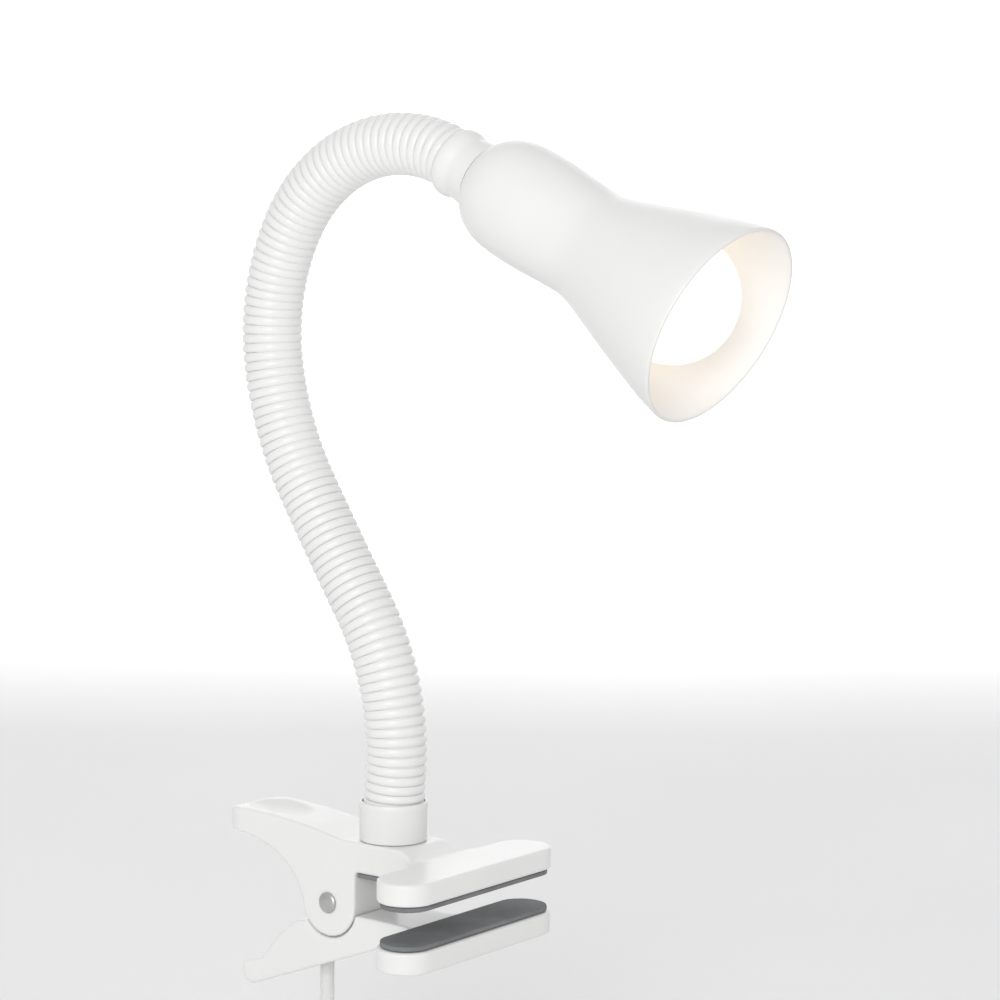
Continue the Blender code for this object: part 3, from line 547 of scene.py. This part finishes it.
# ---------------------------------------------------------------- the neck
@dataclass
class Neck:
    """The ribbed sleeve on its gooseneck, in stretches of steady bend."""

    foot_z: float = 21.7 * MM
    stretches: tuple[tuple[float, float], ...] = (
        (6.0, 4.0),
        (10.5, 4.0),
        (62.6, -34.0),
        (49.9, -32.1),
        (47.4, -8.9),
        (53.6, 29.6),
        (78.5, 108.6),
        (4.0, 116.2),
        (6.0, 116.2),
    )
    joints: tuple[float, ...] = (31.0, 81.0, 131.0, 182.0, 233.0, 284.0)
    rib_count: int = 94
    rib_reach: float = 1.05 * MM
    sleeve_radius: float = 11.15 * MM
    hidden_end: float = 3.2 * MM
    seam_reach: float = 0.2 * MM
    sides: int = 44
    rib_sides: int = 12
    bend_reach: float = 15.0 * MM
    bodies: tuple[str, ...] = ("clamp_base", "neck_2", "neck_3", "neck_4", "neck_5", "neck_6", "head")

    def length(self) -> float:
        """The neck's length in metres, from the bottom of the collar's bore."""
        return sum(long for long, _ in self.stretches) * MM

    def pitch(self) -> float:
        """The distance between two ribs in metres."""
        return (self.length() - self.hidden_end) / self.rib_count

    def spot(self, distance: float) -> tuple[Vector, float]:
        """The centre of the neck and its lean in radians at a distance along it.

        Args:
            distance: metres from the bottom of the collar's bore.

        Returns:
            The point, and the lean from +Z towards +X.
        """
        place = Vector((NECK_X, 0.0, self.foot_z))
        lean = 0.0
        left = distance
        for k, (long, end) in enumerate(self.stretches):
            last = k == len(self.stretches) - 1
            run = left if last or left < long * MM else long * MM
            rate = (math.radians(end) - lean) / (long * MM)
            steps = max(1, int(run / (0.5 * MM)))
            for _ in range(steps):
                middle = lean + rate * run / steps / 2
                place = place + Vector((math.sin(middle), 0.0, math.cos(middle))) * (run / steps)
                lean += rate * run / steps
            left -= run
            if left <= 0:
                break
        return place, lean

    def line(self, start: float, end: float, step: float = 1.5 * MM) -> list[Vector]:
        """Points along the neck between two distances."""
        count = max(2, round((end - start) / step))
        return [self.spot(start + (end - start) * k / count)[0] for k in range(count + 1)]

    def rib_tree(self) -> bpy.types.NodeTree:
        """Build the node tree that sets round ribs along a curve over a thin liner tube.

        Returns:
            The geometry node group, with its sizes as named inputs.
        """
        tree = bpy.data.node_groups.new("ribbed_sleeve", "GeometryNodeTree")
        face = tree.interface
        face.new_socket("Geometry", in_out="INPUT", socket_type="NodeSocketGeometry")
        sizes = ("Rib radius", "Rib height", "Rib half width", "Liner radius", "First rib", "Last rib")
        for name in sizes:
            face.new_socket(name, in_out="INPUT", socket_type="NodeSocketFloat")
        face.new_socket("Rib count", in_out="INPUT", socket_type="NodeSocketInt")
        face.new_socket("Finish", in_out="INPUT", socket_type="NodeSocketMaterial")
        face.new_socket("Geometry", in_out="OUTPUT", socket_type="NodeSocketGeometry")

        def add(kind: str) -> bpy.types.Node:
            """Add a node to the tree."""
            return tree.nodes.new(kind)

        link = tree.links.new
        given = add("NodeGroupInput").outputs
        result = add("NodeGroupOutput").inputs

        hoop = add("GeometryNodeCurvePrimitiveCircle")
        hoop.inputs["Resolution"].default_value = self.sides
        link(given["Rib radius"], hoop.inputs["Radius"])
        upright = add("GeometryNodeSetCurveNormal")
        upright.mode = "Z_UP"
        link(hoop.outputs["Curve"], upright.inputs["Curve"])

        section = add("GeometryNodeCurvePrimitiveCircle")
        section.inputs["Resolution"].default_value = self.rib_sides
        section.inputs["Radius"].default_value = 1.0
        squeeze = add("ShaderNodeCombineXYZ")
        link(given["Rib height"], squeeze.inputs["X"])
        link(given["Rib half width"], squeeze.inputs["Y"])
        squeeze.inputs["Z"].default_value = 1.0
        oval = add("GeometryNodeTransform")
        link(section.outputs["Curve"], oval.inputs["Geometry"])
        link(squeeze.outputs["Vector"], oval.inputs["Scale"])

        rib = add("GeometryNodeCurveToMesh")
        link(upright.outputs["Curve"], rib.inputs["Curve"])
        link(oval.outputs["Geometry"], rib.inputs["Profile Curve"])

        ribbed = add("GeometryNodeTrimCurve")
        ribbed.mode = "LENGTH"
        link(given["Geometry"], ribbed.inputs["Curve"])
        starts, ends = (s for s in ribbed.inputs if s.enabled and s.name in ("Start", "End"))
        link(given["First rib"], starts)
        link(given["Last rib"], ends)
        spots = add("GeometryNodeCurveToPoints")
        spots.mode = "COUNT"
        link(ribbed.outputs["Curve"], spots.inputs["Curve"])
        link(given["Rib count"], spots.inputs["Count"])
        ribs = add("GeometryNodeInstanceOnPoints")
        link(spots.outputs["Points"], ribs.inputs["Points"])
        link(rib.outputs["Mesh"], ribs.inputs["Instance"])
        link(spots.outputs["Rotation"], ribs.inputs["Rotation"])

        bore = add("GeometryNodeCurvePrimitiveCircle")
        bore.inputs["Resolution"].default_value = self.sides
        link(given["Liner radius"], bore.inputs["Radius"])
        liner = add("GeometryNodeCurveToMesh")
        link(given["Geometry"], liner.inputs["Curve"])
        link(bore.outputs["Curve"], liner.inputs["Profile Curve"])
        liner.inputs["Fill Caps"].default_value = True

        both = add("GeometryNodeJoinGeometry")
        link(liner.outputs["Mesh"], both.inputs["Geometry"])
        link(ribs.outputs["Instances"], both.inputs["Geometry"])
        real = add("GeometryNodeRealizeInstances")
        link(both.outputs["Geometry"], real.inputs["Geometry"])
        rounded = add("GeometryNodeSetShadeSmooth")
        link(real.outputs["Geometry"], rounded.inputs["Geometry"])
        dressed = add("GeometryNodeSetMaterial")
        link(rounded.outputs["Geometry"], dressed.inputs["Geometry"])
        link(given["Finish"], dressed.inputs["Material"])
        link(dressed.outputs["Geometry"], result["Geometry"])
        return tree

    def ribbed_stretch(self, name: str, tree: bpy.types.NodeTree, first: int, last: int) -> bpy.types.Object:
        """Make the ribs from one number to another as a plain mesh.

        Args:
            name: the piece's name.
            tree: the rib tree.
            first: the first rib.
            last: one past the last rib.

        Returns:
            The new object.
        """
        pitch = self.pitch()
        points = self.line(first * pitch - self.seam_reach, last * pitch + self.seam_reach)
        path = cord_curve(name + "_path", points, 0.0, 0)
        path.data.use_fill_caps = False
        modifier = path.modifiers.new("ribs", "NODES")
        modifier.node_group = tree
        values = {
            "Rib radius": self.sleeve_radius - self.rib_reach,
            "Rib height": self.rib_reach,
            "Rib half width": pitch * 0.51,
            "Liner radius": self.sleeve_radius - self.rib_reach * 0.95,
            "First rib": self.seam_reach + pitch / 2,
            "Last rib": self.seam_reach + (last - first - 0.5) * pitch,
            "Rib count": last - first,
            "Finish": MATERIALS[Slot.SLEEVE],
        }
        for socket in tree.interface.items_tree:
            if socket.name in values and socket.in_out == "INPUT":
                modifier[socket.identifier] = values[socket.name]
        bpy.context.view_layer.update()
        evaluated = path.evaluated_get(bpy.context.evaluated_depsgraph_get())
        mesh = bpy.data.meshes.new_from_object(evaluated)
        bpy.data.objects.remove(path, do_unlink=True)
        solid = bmesh.new()
        solid.from_mesh(mesh)
        bmesh.ops.recalc_face_normals(solid, faces=solid.faces)
        solid.to_mesh(mesh)
        solid.free()
        mesh.name = name
        mesh.shade_smooth()
        return object_of(name, mesh)

    def build(self) -> None:
        """Build the sleeve in stretches, each reaching across one joint."""
        tree = self.rib_tree()
        pitch = self.pitch()
        middles = [(a + b) / 2 * MM for a, b in zip(self.joints, self.joints[1:], strict=False)]
        cuts = [0, *[round(m / pitch) for m in middles], self.rib_count]
        for k, joint in enumerate(self.joints):
            name = f"ribbed_sleeve_{k + 1}"
            piece = self.ribbed_stretch(name, tree, cuts[k], cuts[k + 1])
            centre, lean = self.spot(joint * MM)
            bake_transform(piece)
            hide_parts(f"neck_sleeve_{k + 1}")
            if k == len(self.joints) - 1:
                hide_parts(f"neck_sleeve_{k + 2}")
            log.info("%s bends between %s and %s", name, self.bodies[k], self.bodies[k + 1])


# ---------------------------------------------------------------- the head
@dataclass
class Head:
    """The shade with its ferrule, lampholder and bulb, drawn along the head's own axis."""

    neck: Neck
    wall: float = 1.4 * MM
    bulb_radius: float = 22.5 * MM
    bulb_at: float = 100.0 * MM
    shade_line: tuple[tuple[float, float], ...] = (
        (36.0, 120.5),
        (34.4, 112.6),
        (31.6, 103.0),
        (28.1, 91.4),
        (24.1, 79.2),
        (20.8, 68.8),
        (19.6, 62.0),
        (19.8, 53.0),
        (20.5, 41.0),
        (20.5, 30.0),
        (19.8, 23.6),
        (18.0, 18.4),
        (15.6, 14.8),
        (12.6, 12.4),
    )

    def axis(self) -> Matrix:
        """The head's own axis as +Z, from the end of the neck."""
        spot, lean = self.neck.spot(self.neck.length())
        return Matrix.Translation(spot) @ Matrix.Rotation(lean, 4, "Y")

    def build_shade(self) -> None:
        """The bell shade, a thin even wall with a round rim."""
        line = smooth([(r * MM, h * MM, 0.0) for r, h in self.shade_line], 5)
        outer = [(p.x, p.y) for p in line] + [(5.4 * MM, 12.2 * MM)]
        piece = turned("bell_shade", walled(outer, self.wall), self.axis(), 128, True, 50.0)
        finished(piece, Body.HEAD, Slot.WHITE, "lampshade")

    def build_ferrule(self) -> None:
        """The turned ferrule with a soft bead where the neck enters."""
        outside = [(12.5, 12.1), (12.2, 10.0), (11.9, 7.5), (11.6, 5.4), (11.65, 4.0), (12.1, 2.5)]
        outside += [(12.5, 0.9), (12.55, -0.5), (12.3, -1.7), (11.8, -2.5), (11.3, -2.8)]
        inside = [(10.9, -2.6), (8.7, -2.2), (8.7, 6.2), (5.3, 6.2), (5.3, 11.9)]
        curve = smooth([(r * MM, h * MM, 0.0) for r, h in outside], 3)
        profile = [(p.x, p.y) for p in curve] + [(r * MM, h * MM) for r, h in inside]
        piece = turned("beaded_ferrule", profile, self.axis(), 72, True)
        finished(piece, Body.HEAD, Slot.WHITE, "shade_ferrule")

    def build_bulb(self) -> None:
        """The golf-ball bulb: glass with a wall and its rolled screw cap."""
        top = self.bulb_at + self.bulb_radius
        globe = [(0.0, top)]
        globe += arc((0.0, self.bulb_at), self.bulb_radius, 85.0, -32.0, 26)
        neck = [(14.6, 83.6), (10.6, 77.3), (7.6, 73.0), (6.3, 70.4), (6.2, 66.4)]
        outer = globe + [(r * MM, h * MM) for r, h in neck]
        wall = 0.9 * MM
        scale = (self.bulb_radius - wall) / self.bulb_radius
        inner = [(r * scale, self.bulb_at + (h - self.bulb_at) * scale) for r, h in globe]
        inner += [(r * MM - wall, h * MM) for r, h in neck]
        piece = turned("opal_bulb", outer + list(reversed(inner)), self.axis(), 96)
        finished(piece, Body.HEAD, Slot.GLASS, "bulb_glass")

        thread = [(7.2 * MM, 70.0 * MM), (7.0 * MM, 68.4 * MM)]
        ridges = 5
        pitch = 3.2 * MM
        for k in range(ridges * 6 + 1):
            wave = math.cos(2 * math.pi * k / 6)
            thread.append((6.55 * MM + 0.4 * MM * wave, 67.4 * MM - pitch * k / 6))
        end = [(5.0, 50.2), (2.6, 49.6), (2.6, 50.6), (4.6, 51.2), (5.6, 52.8), (5.7, 66.0), (6.7, 70.0)]
        thread += [(r * MM, h * MM) for r, h in end]
        cap = turned("screw_cap", thread, self.axis(), 64, True)
        finished(cap, Body.HEAD, Slot.CAP, "bulb_screw_cap")

    def build_holder(self) -> None:
        """The lampholder's body, with a ribbed skirt and rounded back."""
        outside = [(13.2, 70.0), (14.0, 69.3), (14.0, 46.0), (13.6, 45.4), (13.6, 43.6), (14.0, 43.0)]
        outside += [(14.0, 21.0), (13.2, 17.4), (11.4, 15.2), (7.5, 13.9)]
        inside = [(5.3, 13.9), (5.3, 16.4), (10.4, 17.4), (10.4, 34.0)]
        inside += [(9.0, 34.0), (9.0, 69.4), (9.6, 70.0)]
        profile = [(r * MM, h * MM) for r, h in outside + inside]
        piece = turned("holder_body", profile, self.axis(), 64, True)
        finished(piece, Body.HEAD, Slot.HOLDER, "lampholder_body")

    def build(self) -> None:
        """Build the head's pieces from the outside in."""
        self.build_shade()
        self.build_ferrule()
        self.build_holder()
        self.build_bulb()


# ---------------------------------------------------------------- the clamp
@dataclass
class Clamp:
    """The two moulded arms, their pads, the collar and the torsion spring."""

    pivot: tuple[float, float] = (NECK_X - 20.0 * MM, -11.0 * MM)
    collar_low: float = 13.5 * MM
    collar_top: float = 27.7 * MM
    collar_radius: float = 12.4 * MM
    spring_radius: float = 5.2 * MM
    spring_wire: float = 0.9 * MM
    spring_turns: float = 2.75
    spring_pitch: float = 1.85 * MM
    spring_start: float = 1.3 * MM
    coil_steps: int = 36
    arm_voxel: float = 0.6 * MM
    arm_rounds: int = 7
    pad_voxel: float = 0.4 * MM
    pad_rounds: int = 3
    lever_tips: dict[str, tuple[float, float, float]] = field(
        default_factory=lambda: {"upper": (-45.0, 12.3, 54.0), "lower": (-45.0, -37.6, -51.0)}
    )

    def build_arms(self) -> None:
        """Both arms, with the round edges of a moulding."""
        upper = moulded_copy("upper_arm", "upper_clamp_arm", self.arm_voxel, self.arm_rounds)
        finished(upper, Body.CLAMP, Slot.WHITE, "upper_clamp_arm")
        lower = moulded_copy("lower_arm", "lower_clamp_arm", self.arm_voxel, self.arm_rounds)
        finished(lower, Body.LOWER_JAW, Slot.WHITE, "lower_clamp_arm")

    def build_pads(self) -> None:
        """The two rubber pads."""
        upper = moulded_copy("upper_pad", "upper_jaw_pad", self.pad_voxel, self.pad_rounds)
        finished(upper, Body.CLAMP, Slot.PAD, "upper_jaw_pad")
        lower = moulded_copy("lower_pad", "lower_jaw_pad", self.pad_voxel, self.pad_rounds)
        finished(lower, Body.LOWER_JAW, Slot.PAD, "lower_jaw_pad")

    def build_collar(self) -> None:
        """The collar round the foot of the neck, with a thin lip at its top edge."""
        top, low, out = self.collar_top, self.collar_low, self.collar_radius
        profile = [(out - 0.55 * MM, top), (out - 0.1 * MM, top - 0.15 * MM)]
        profile += [(out + 0.1 * MM, top - 0.6 * MM), (out + 0.1 * MM, top - 2.3 * MM)]
        profile += [(out - 0.05 * MM, top - 2.8 * MM)]
        profile += [(out - 0.15 * MM, low + 0.5 * MM), (out - 0.35 * MM, low)]
        profile += [(7.8 * MM, low), (7.8 * MM, top - 6.9 * MM), (11.5 * MM, top - 6.9 * MM)]
        profile += [(11.5 * MM, top - 0.3 * MM), (11.6 * MM, top)]
        at = Matrix.Translation((NECK_X, 0.0, 0.0))
        piece = turned("neck_collar", profile, at, 96, True)
        finished(piece, Body.CLAMP, Slot.WHITE, "base_collar")

    def spring_line(self, side: int, tip: tuple[float, float, float]) -> list[Vector]:
        """The centreline of half of the spring.

        Args:
            side: +1 for the half on the left, -1 for the right.
            tip: the leg's end from the neck's axis in millimetres, and where the coil ends in degrees.

        Returns:
            The points from the middle of the spring to the leg's end.
        """
        x, z, degrees = tip
        count = int(self.spring_turns * self.coil_steps)
        points = []
        for k in range(count + 1):
            turn = math.radians(degrees) - side * 2 * math.pi * (count - k) / self.coil_steps
            out_x = self.pivot[0] + self.spring_radius * math.cos(turn)
            out_z = self.pivot[1] + self.spring_radius * math.sin(turn)
            y = side * (self.spring_start + self.spring_pitch * k / self.coil_steps)
            points.append(Vector((out_x, y, out_z)))
        end = Vector((NECK_X + x * MM, points[-1].y, z * MM))
        return [*points, points[-1].lerp(end, 0.5), end]

    def build_spring(self) -> None:
        """The torsion spring's two halves, each on the arm that it presses."""
        line = self.spring_line(1, self.lever_tips["upper"])
        upper = wire("spring_upper_half", line, self.spring_wire)
        finished(upper, Body.CLAMP, Slot.STEEL, "torsion_spring_upper_leg")
        line = self.spring_line(-1, self.lever_tips["lower"])
        lower = wire("spring_lower_half", line, self.spring_wire)
        finished(lower, Body.LOWER_JAW, Slot.STEEL, "torsion_spring_lower_leg")

    def build_pin(self) -> None:
        """The pivot pin with a domed head and a riveted end."""
        half = 13.3 * MM
        head = 3.9 * MM
        shank = 2.5 * MM
        rise = 1.0 * MM
        dome = [(head * math.sin(a), half + rise * math.cos(a)) for a in (0.0, 0.4, 0.8, 1.2, 1.5)]
        profile = [*dome, (head, half), (shank, half)]
        profile += [(r, -h) for r, h in reversed(profile)]
        middle = Matrix.Translation((self.pivot[0], 0.0, self.pivot[1]))
        at = middle @ Matrix.Rotation(math.radians(90), 4, "X")
        finished(turned("hinge_pin", profile, at, 40), Body.CLAMP, Slot.STEEL, "pivot_pin")

    def build(self) -> None:
        """Build the clamp's pieces."""
        self.build_arms()
        self.build_pads()
        self.build_collar()
        self.build_pin()
        self.build_spring()


# ---------------------------------------------------------------- the cord
@dataclass
class Cord:
    """The mains cord: down from the clamp, through the switch, round the coil and into the plug."""

    radius: float = 2.6 * MM
    exit_x: float = NECK_X - 31.0 * MM
    relief_bottom: float = -31.0 * MM
    real_length: float = 1.5
    coil_at: tuple[float, float] = (38.0 * MM, -6.0 * MM)
    coil_outer: float = 38.8 * MM
    turns: float = 5.5
    per_turn: int = 28
    end_voxel: float = 0.35 * MM
    end_rounds: int = 5
    switch_at: tuple[float, float] = (-52.0 * MM, -46.0 * MM)
    switch_half: float = 31.0 * MM
    plug_at: tuple[float, float] = (-6.0 * MM, 36.0 * MM)

    @property
    def low(self) -> float:
        """The height of the cord's centre where it lies."""
        return FLOOR_Z + self.radius

    def from_clamp(self) -> list[Point]:
        """The route from the strain relief down to the switch."""
        x, z = self.exit_x, self.low
        return [
            (x, 0.0, self.relief_bottom - GAP),
            (x, 0.0, -45 * MM),
            (x, 0.0, -60 * MM),
            (x - 1.5 * MM, 0.0, -73 * MM),
            (x - 7 * MM, -0.5 * MM, -84 * MM),
            (x - 16 * MM, -2 * MM, -92.5 * MM),
            (x - 27 * MM, -5 * MM, -96.9 * MM),
            (x - 38 * MM, -11 * MM, z),
            (x - 45 * MM, -21 * MM, z),
            (x - 44 * MM, -33 * MM, z),
            (x - 35 * MM, -42.5 * MM, z),
            (x - 24 * MM, -46 * MM, z),
            (self.switch_at[0] - self.switch_half - GAP, self.switch_at[1], z),
        ]

    def to_coil(self) -> list[Point]:
        """The route from the switch to the coil."""
        z = self.low
        return [
            (self.switch_at[0] + self.switch_half + GAP, self.switch_at[1], z),
            (-14 * MM, -46.5 * MM, z),
            (-6 * MM, -48 * MM, z),
            (3 * MM, -50 * MM, z),
            (13 * MM, -51.5 * MM, z),
            (22 * MM, -52 * MM, z),
        ]

    def coil(self) -> list[Point]:
        """Five and a half turns in two layers: in along the floor, out on top, and down again."""
        beside = self.coil_outer + self.radius + GAP
        outer = self.coil_outer - self.radius
        pitch = 2 * self.radius + 0.02 * MM
        inner = outer - 2 * pitch
        upper = self.low + 2 * self.radius

        def eased(t: float, start: float, end: float) -> float:
            """Rise smoothly from 0 to 1 between two turns."""
            u = min(1.0, max(0.0, (t - start) / (end - start)))
            return u * u * (3 - 2 * u)

        points = []
        count = int(self.turns * self.per_turn)
        for k in range(count + 1):
            t = k / self.per_turn
            if t < 0.4:
                r = beside + (outer - beside) * eased(t, 0.0, 0.4)
            elif t < 2.4:
                r = outer - pitch * (t - 0.4)
            elif t < 2.8:
                r = inner
            elif t < 4.8:
                r = inner + pitch * (t - 2.8)
            else:
                r = outer + (beside - outer) * eased(t, 4.8, 5.1)
            z = self.low + (upper - self.low) * (eased(t, 2.4, 2.8) - eased(t, 5.1, 5.5))
            a = math.radians(-90) + 2 * math.pi * t
            points.append((self.coil_at[0] + r * math.cos(a), self.coil_at[1] + r * math.sin(a), z))
        return points

    def to_plug(self) -> list[Point]:
        """The route from the coil into the plug."""
        x, y = self.plug_at
        z = self.low
        return [
            (20 * MM, 36.4 * MM, z + 0.6 * MM),
            (11 * MM, 36.0 * MM, z + 2.6 * MM),
            (3 * MM, 36.0 * MM, z + 4.2 * MM),
            (x + GAP, y, z + 4.4 * MM),
        ]

    def route(self) -> list[Vector]:
        """The whole centreline, from the clamp to the plug."""
        first = smooth(self.from_clamp(), 5)
        rest = smooth([*self.to_coil(), *self.coil(), *self.to_plug()], 2)
        return first + rest

    def build_relief(self) -> bpy.types.Object:
        """The tapered, grooved sleeve where the cord leaves the clamp."""
        profile = [(0.0, 3.4), (2.8, 3.4), (3.0, 3.0), (3.0, 0.2), (3.9, 0.2), (3.95, -2.6)]
        grooves = 7
        for k in range(grooves):
            top = -3.4 - k * 3.6
            wide = 3.8 - 0.08 * k
            profile += [(wide - 0.75, top), (wide - 0.75, top - 0.9)]
            profile += [(wide, top - 1.2), (wide - 0.05, top - 3.3)]
        profile += [(3.1, -30.2), (2.9, -31.0), (0.0, -31.0)]
        at = Matrix.Translation((self.exit_x, 0.0, 0.0))
        piece = turned("grooved_strain_relief", [(r * MM, h * MM) for r, h in profile], at, 40)
        return finished(piece, Body.CLAMP, Slot.RELIEF, "cord_strain_relief")

    def build_tie(self) -> bpy.types.Object:
        """The soft band that holds the coil together."""
        half_wide = 4.5 * MM
        reach = (9.0 * MM, 6.0 * MM)
        centre_r = 31.0 * MM
        middle = FLOOR_Z + 2 * self.radius
        solid = bmesh.new()
        rings = []
        corners = arc((0.0, 0.0), 1.0, 0.0, 360.0, 32)[:-1]
        for across in (-half_wide, half_wide):
            for extra in (0.0, 0.7 * MM):
                ring = []
                for u, v in corners:
                    x = (reach[0] + extra) * math.copysign(abs(u) ** 0.5, u)
                    z = (reach[1] + extra) * math.copysign(abs(v) ** 0.5, v)
                    z = max(z, FLOOR_Z - middle)
                    ring.append(solid.verts.new((centre_r + x, across, middle + z)))
                rings.append(ring)
        order = (rings[0], rings[1], rings[3], rings[2])
        for a, b in zip(order, (*order[1:], order[0]), strict=True):
            for k in range(len(corners)):
                n = (k + 1) % len(corners)
                solid.faces.new((a[k], a[n], b[n], b[k]))
        at = Matrix.Translation((*self.coil_at, 0.0)) @ Matrix.Rotation(math.radians(20), 4, "Z")
        piece = mesh_from(solid, "coil_tie", at, 40.0)
        return finished(piece, Body.CLAMP, Slot.CABLE)

    def build_ends(self) -> list[bpy.types.Object]:
        """The switch's halves and rocker and the plug's body, with rounded edges."""
        made = []
        for name, node, body in (
            ("switch_base", "switch_lower_housing", Body.CLAMP),
            ("switch_cover", "switch_upper_housing", Body.CLAMP),
            ("rocker_key", "switch_rocker", Body.ROCKER),
            ("flat_plug", "plug_body", Body.CLAMP),
        ):
            piece = moulded_copy(name, node, self.end_voxel, self.end_rounds)
            made.append(finished(piece, body, Slot.WHITE, node))
        made += [frame["nodes"][n] for n in ("plug_pin_left", "plug_pin_right")]
        made += [frame["nodes"][n] for n in ("switch_screw_left", "switch_screw_right")]
        return made

    def build(self) -> None:
        cord = cord_curve("mains_cord", self.route(), self.radius, 6)
        nodes = ("cord_from_clamp", "cord_to_coil", "cord_to_plug", "cord_coil")
        finished(cord, Body.CLAMP, Slot.CABLE, *nodes)
        pieces = [self.build_relief(), self.build_tie(), *self.build_ends()]


# ---------------------------------------------------------------- what stays from the CAD
def dress_cad_nodes() -> None:
    """Give every CAD node that still shows the finish of its material slot."""
    slots = {row["node"]: Slot(row["material_slot"]) for row in frame["record"]["subparts"]}
    for name, node in frame["nodes"].items():
        if node.hide_render:
            continue
        for place in node.material_slots:
            place.material = MATERIALS[slots[name]]
        log.info("%s keeps its CAD shape", name)


# ---------------------------------------------------------------- the stage
@dataclass
class Studio:
    """A plain pale floor that sweeps up behind the lamp, soft lights and the camera."""

    floor_reach: float = 3.0
    sweep_radius: float = 1.2
    back: float = 1.6
    camera_at: Point = (0.5873, -0.7647, 0.23545)
    turn: float = 36.9
    dip: float = 5.68
    roll: float = 0.69
    lens: float = 99.2
    world_strength: float = 0.7
    floor_tones: tuple[Point, Point] = ((0.9, 0.9, 0.9), (0.92, 0.92, 0.92))
    lamp_middle: Point = (-0.02, 0.0, 0.12)

    def view_axes(self) -> tuple[Vector, Vector, Vector]:
        """The camera's right, up and back directions."""
        a, p, r = math.radians(self.turn), math.radians(self.dip), math.radians(self.roll)
        back = Vector((math.sin(a) * math.cos(p), -math.cos(a) * math.cos(p), math.sin(p)))
        right = Vector((math.cos(a), math.sin(a), 0.0))
        up = back.cross(right)
        return right * math.cos(r) + up * math.sin(r), up * math.cos(r) - right * math.sin(r), back

    def build_camera(self) -> None:
        """Stand the camera where the lamp is seen from its right front."""
        data = bpy.data.cameras.new("view")
        data.lens = self.lens
        data.sensor_width = 36.0
        data.clip_start = 0.01
        data.clip_end = 30.0
        camera = bpy.data.objects.new("view", data)
        right, up, back = self.view_axes()
        turn = Matrix((right, up, back)).transposed().to_4x4()
        camera.matrix_world = Matrix.Translation(self.camera_at) @ turn
        bpy.context.scene.collection.objects.link(camera)
        bpy.context.scene.camera = camera

    def build_floor(self) -> None:
        """A floor and its sweep, as one smooth sheet."""
        _, _, back = self.view_axes()
        away = -Vector((back.x, back.y, 0.0)).normalized()
        side = Vector((-away.y, away.x, 0.0))
        run = [(-self.floor_reach, 0.0), (self.back, 0.0)]
        for k in range(1, 25):
            a = math.radians(90) * k / 24
            run.append((self.back + self.sweep_radius * math.sin(a), self.sweep_radius * (1 - math.cos(a))))
        run.append((self.back + self.sweep_radius, self.sweep_radius + self.floor_reach))
        solid = bmesh.new()
        rows = []
        for along, up in run:
            middle = away * along + Vector((0.0, 0.0, FLOOR_Z + up))
            rows.append([solid.verts.new(middle + side * w * self.floor_reach) for w in (-1.0, 1.0)])
        for low, high in zip(rows, rows[1:], strict=False):
            solid.faces.new((low[0], low[1], high[1], high[0]))
        floor = mesh_from(solid, "studio_floor", Matrix(), 80.0)
        wiring = Wiring("pale_floor")
        wiring.tints(wiring.noise(3.0), *self.floor_tones)
        wiring.shader.inputs["Roughness"].default_value = 0.7
        floor.data.materials.append(wiring.material)

    def add_softbox(self, name: str, at: Point, aim: Point, size: float, power: float, tint: Point) -> None:
        """A square area light.

        Args:
            name: the light's name.
            at: where it stands.
            aim: the point that it faces.
            size: its side in metres.
            power: its power in watts.
            tint: its colour.
        """
        data = bpy.data.lights.new(name, "AREA")
        data.size = size
        data.energy = power
        data.color = tint
        box = bpy.data.objects.new(name, data)
        way = Vector(aim) - Vector(at)
        box.matrix_world = Matrix.Translation(at) @ way.to_track_quat("-Z", "Y").to_matrix().to_4x4()
        bpy.context.scene.collection.objects.link(box)

    def build_lights(self) -> None:
        """One soft light on the lamp from the front and one on the sweep, in a pale world."""
        world = bpy.data.worlds.new("pale_world")
        world.use_nodes = True
        world.node_tree.nodes["Background"].inputs["Color"].default_value = (1.0, 1.0, 1.0, 1.0)
        world.node_tree.nodes["Background"].inputs["Strength"].default_value = self.world_strength
        bpy.context.scene.world = world
        bpy.context.scene.view_settings.view_transform = "Standard"
        front = (0.55, -1.15, 0.5)
        self.add_softbox("key_softbox", front, self.lamp_middle, 0.6, 6.5, (1.0, 0.995, 0.985))
        behind = (-1.0, 1.35, 1.4)
        self.add_softbox("backdrop_softbox", behind, (-2.2, 2.9, 0.3), 1.6, 30.0, (1.0, 1.0, 1.0))

    def build(self) -> None:
        """Build the stage."""
        self.build_camera()
        self.build_floor()
        self.build_lights()


def report(label: str, build: Callable[[], None]) -> None:
    """Build one sub-assembly and say so."""
    log.info("building the %s", label)
    build()


def main() -> None:
    """Build the lamp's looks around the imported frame."""
    logging.basicConfig(level=logging.INFO, format="%(name)s: %(message)s")
    neck = Neck()
    report("stage", Studio().build)
    report("cord", Cord().build)
    report("neck", neck.build)
    report("head", Head(neck).build)
    report("clamp", Clamp().build)
    dress_cad_nodes()


if __name__ == "__main__":
    main()
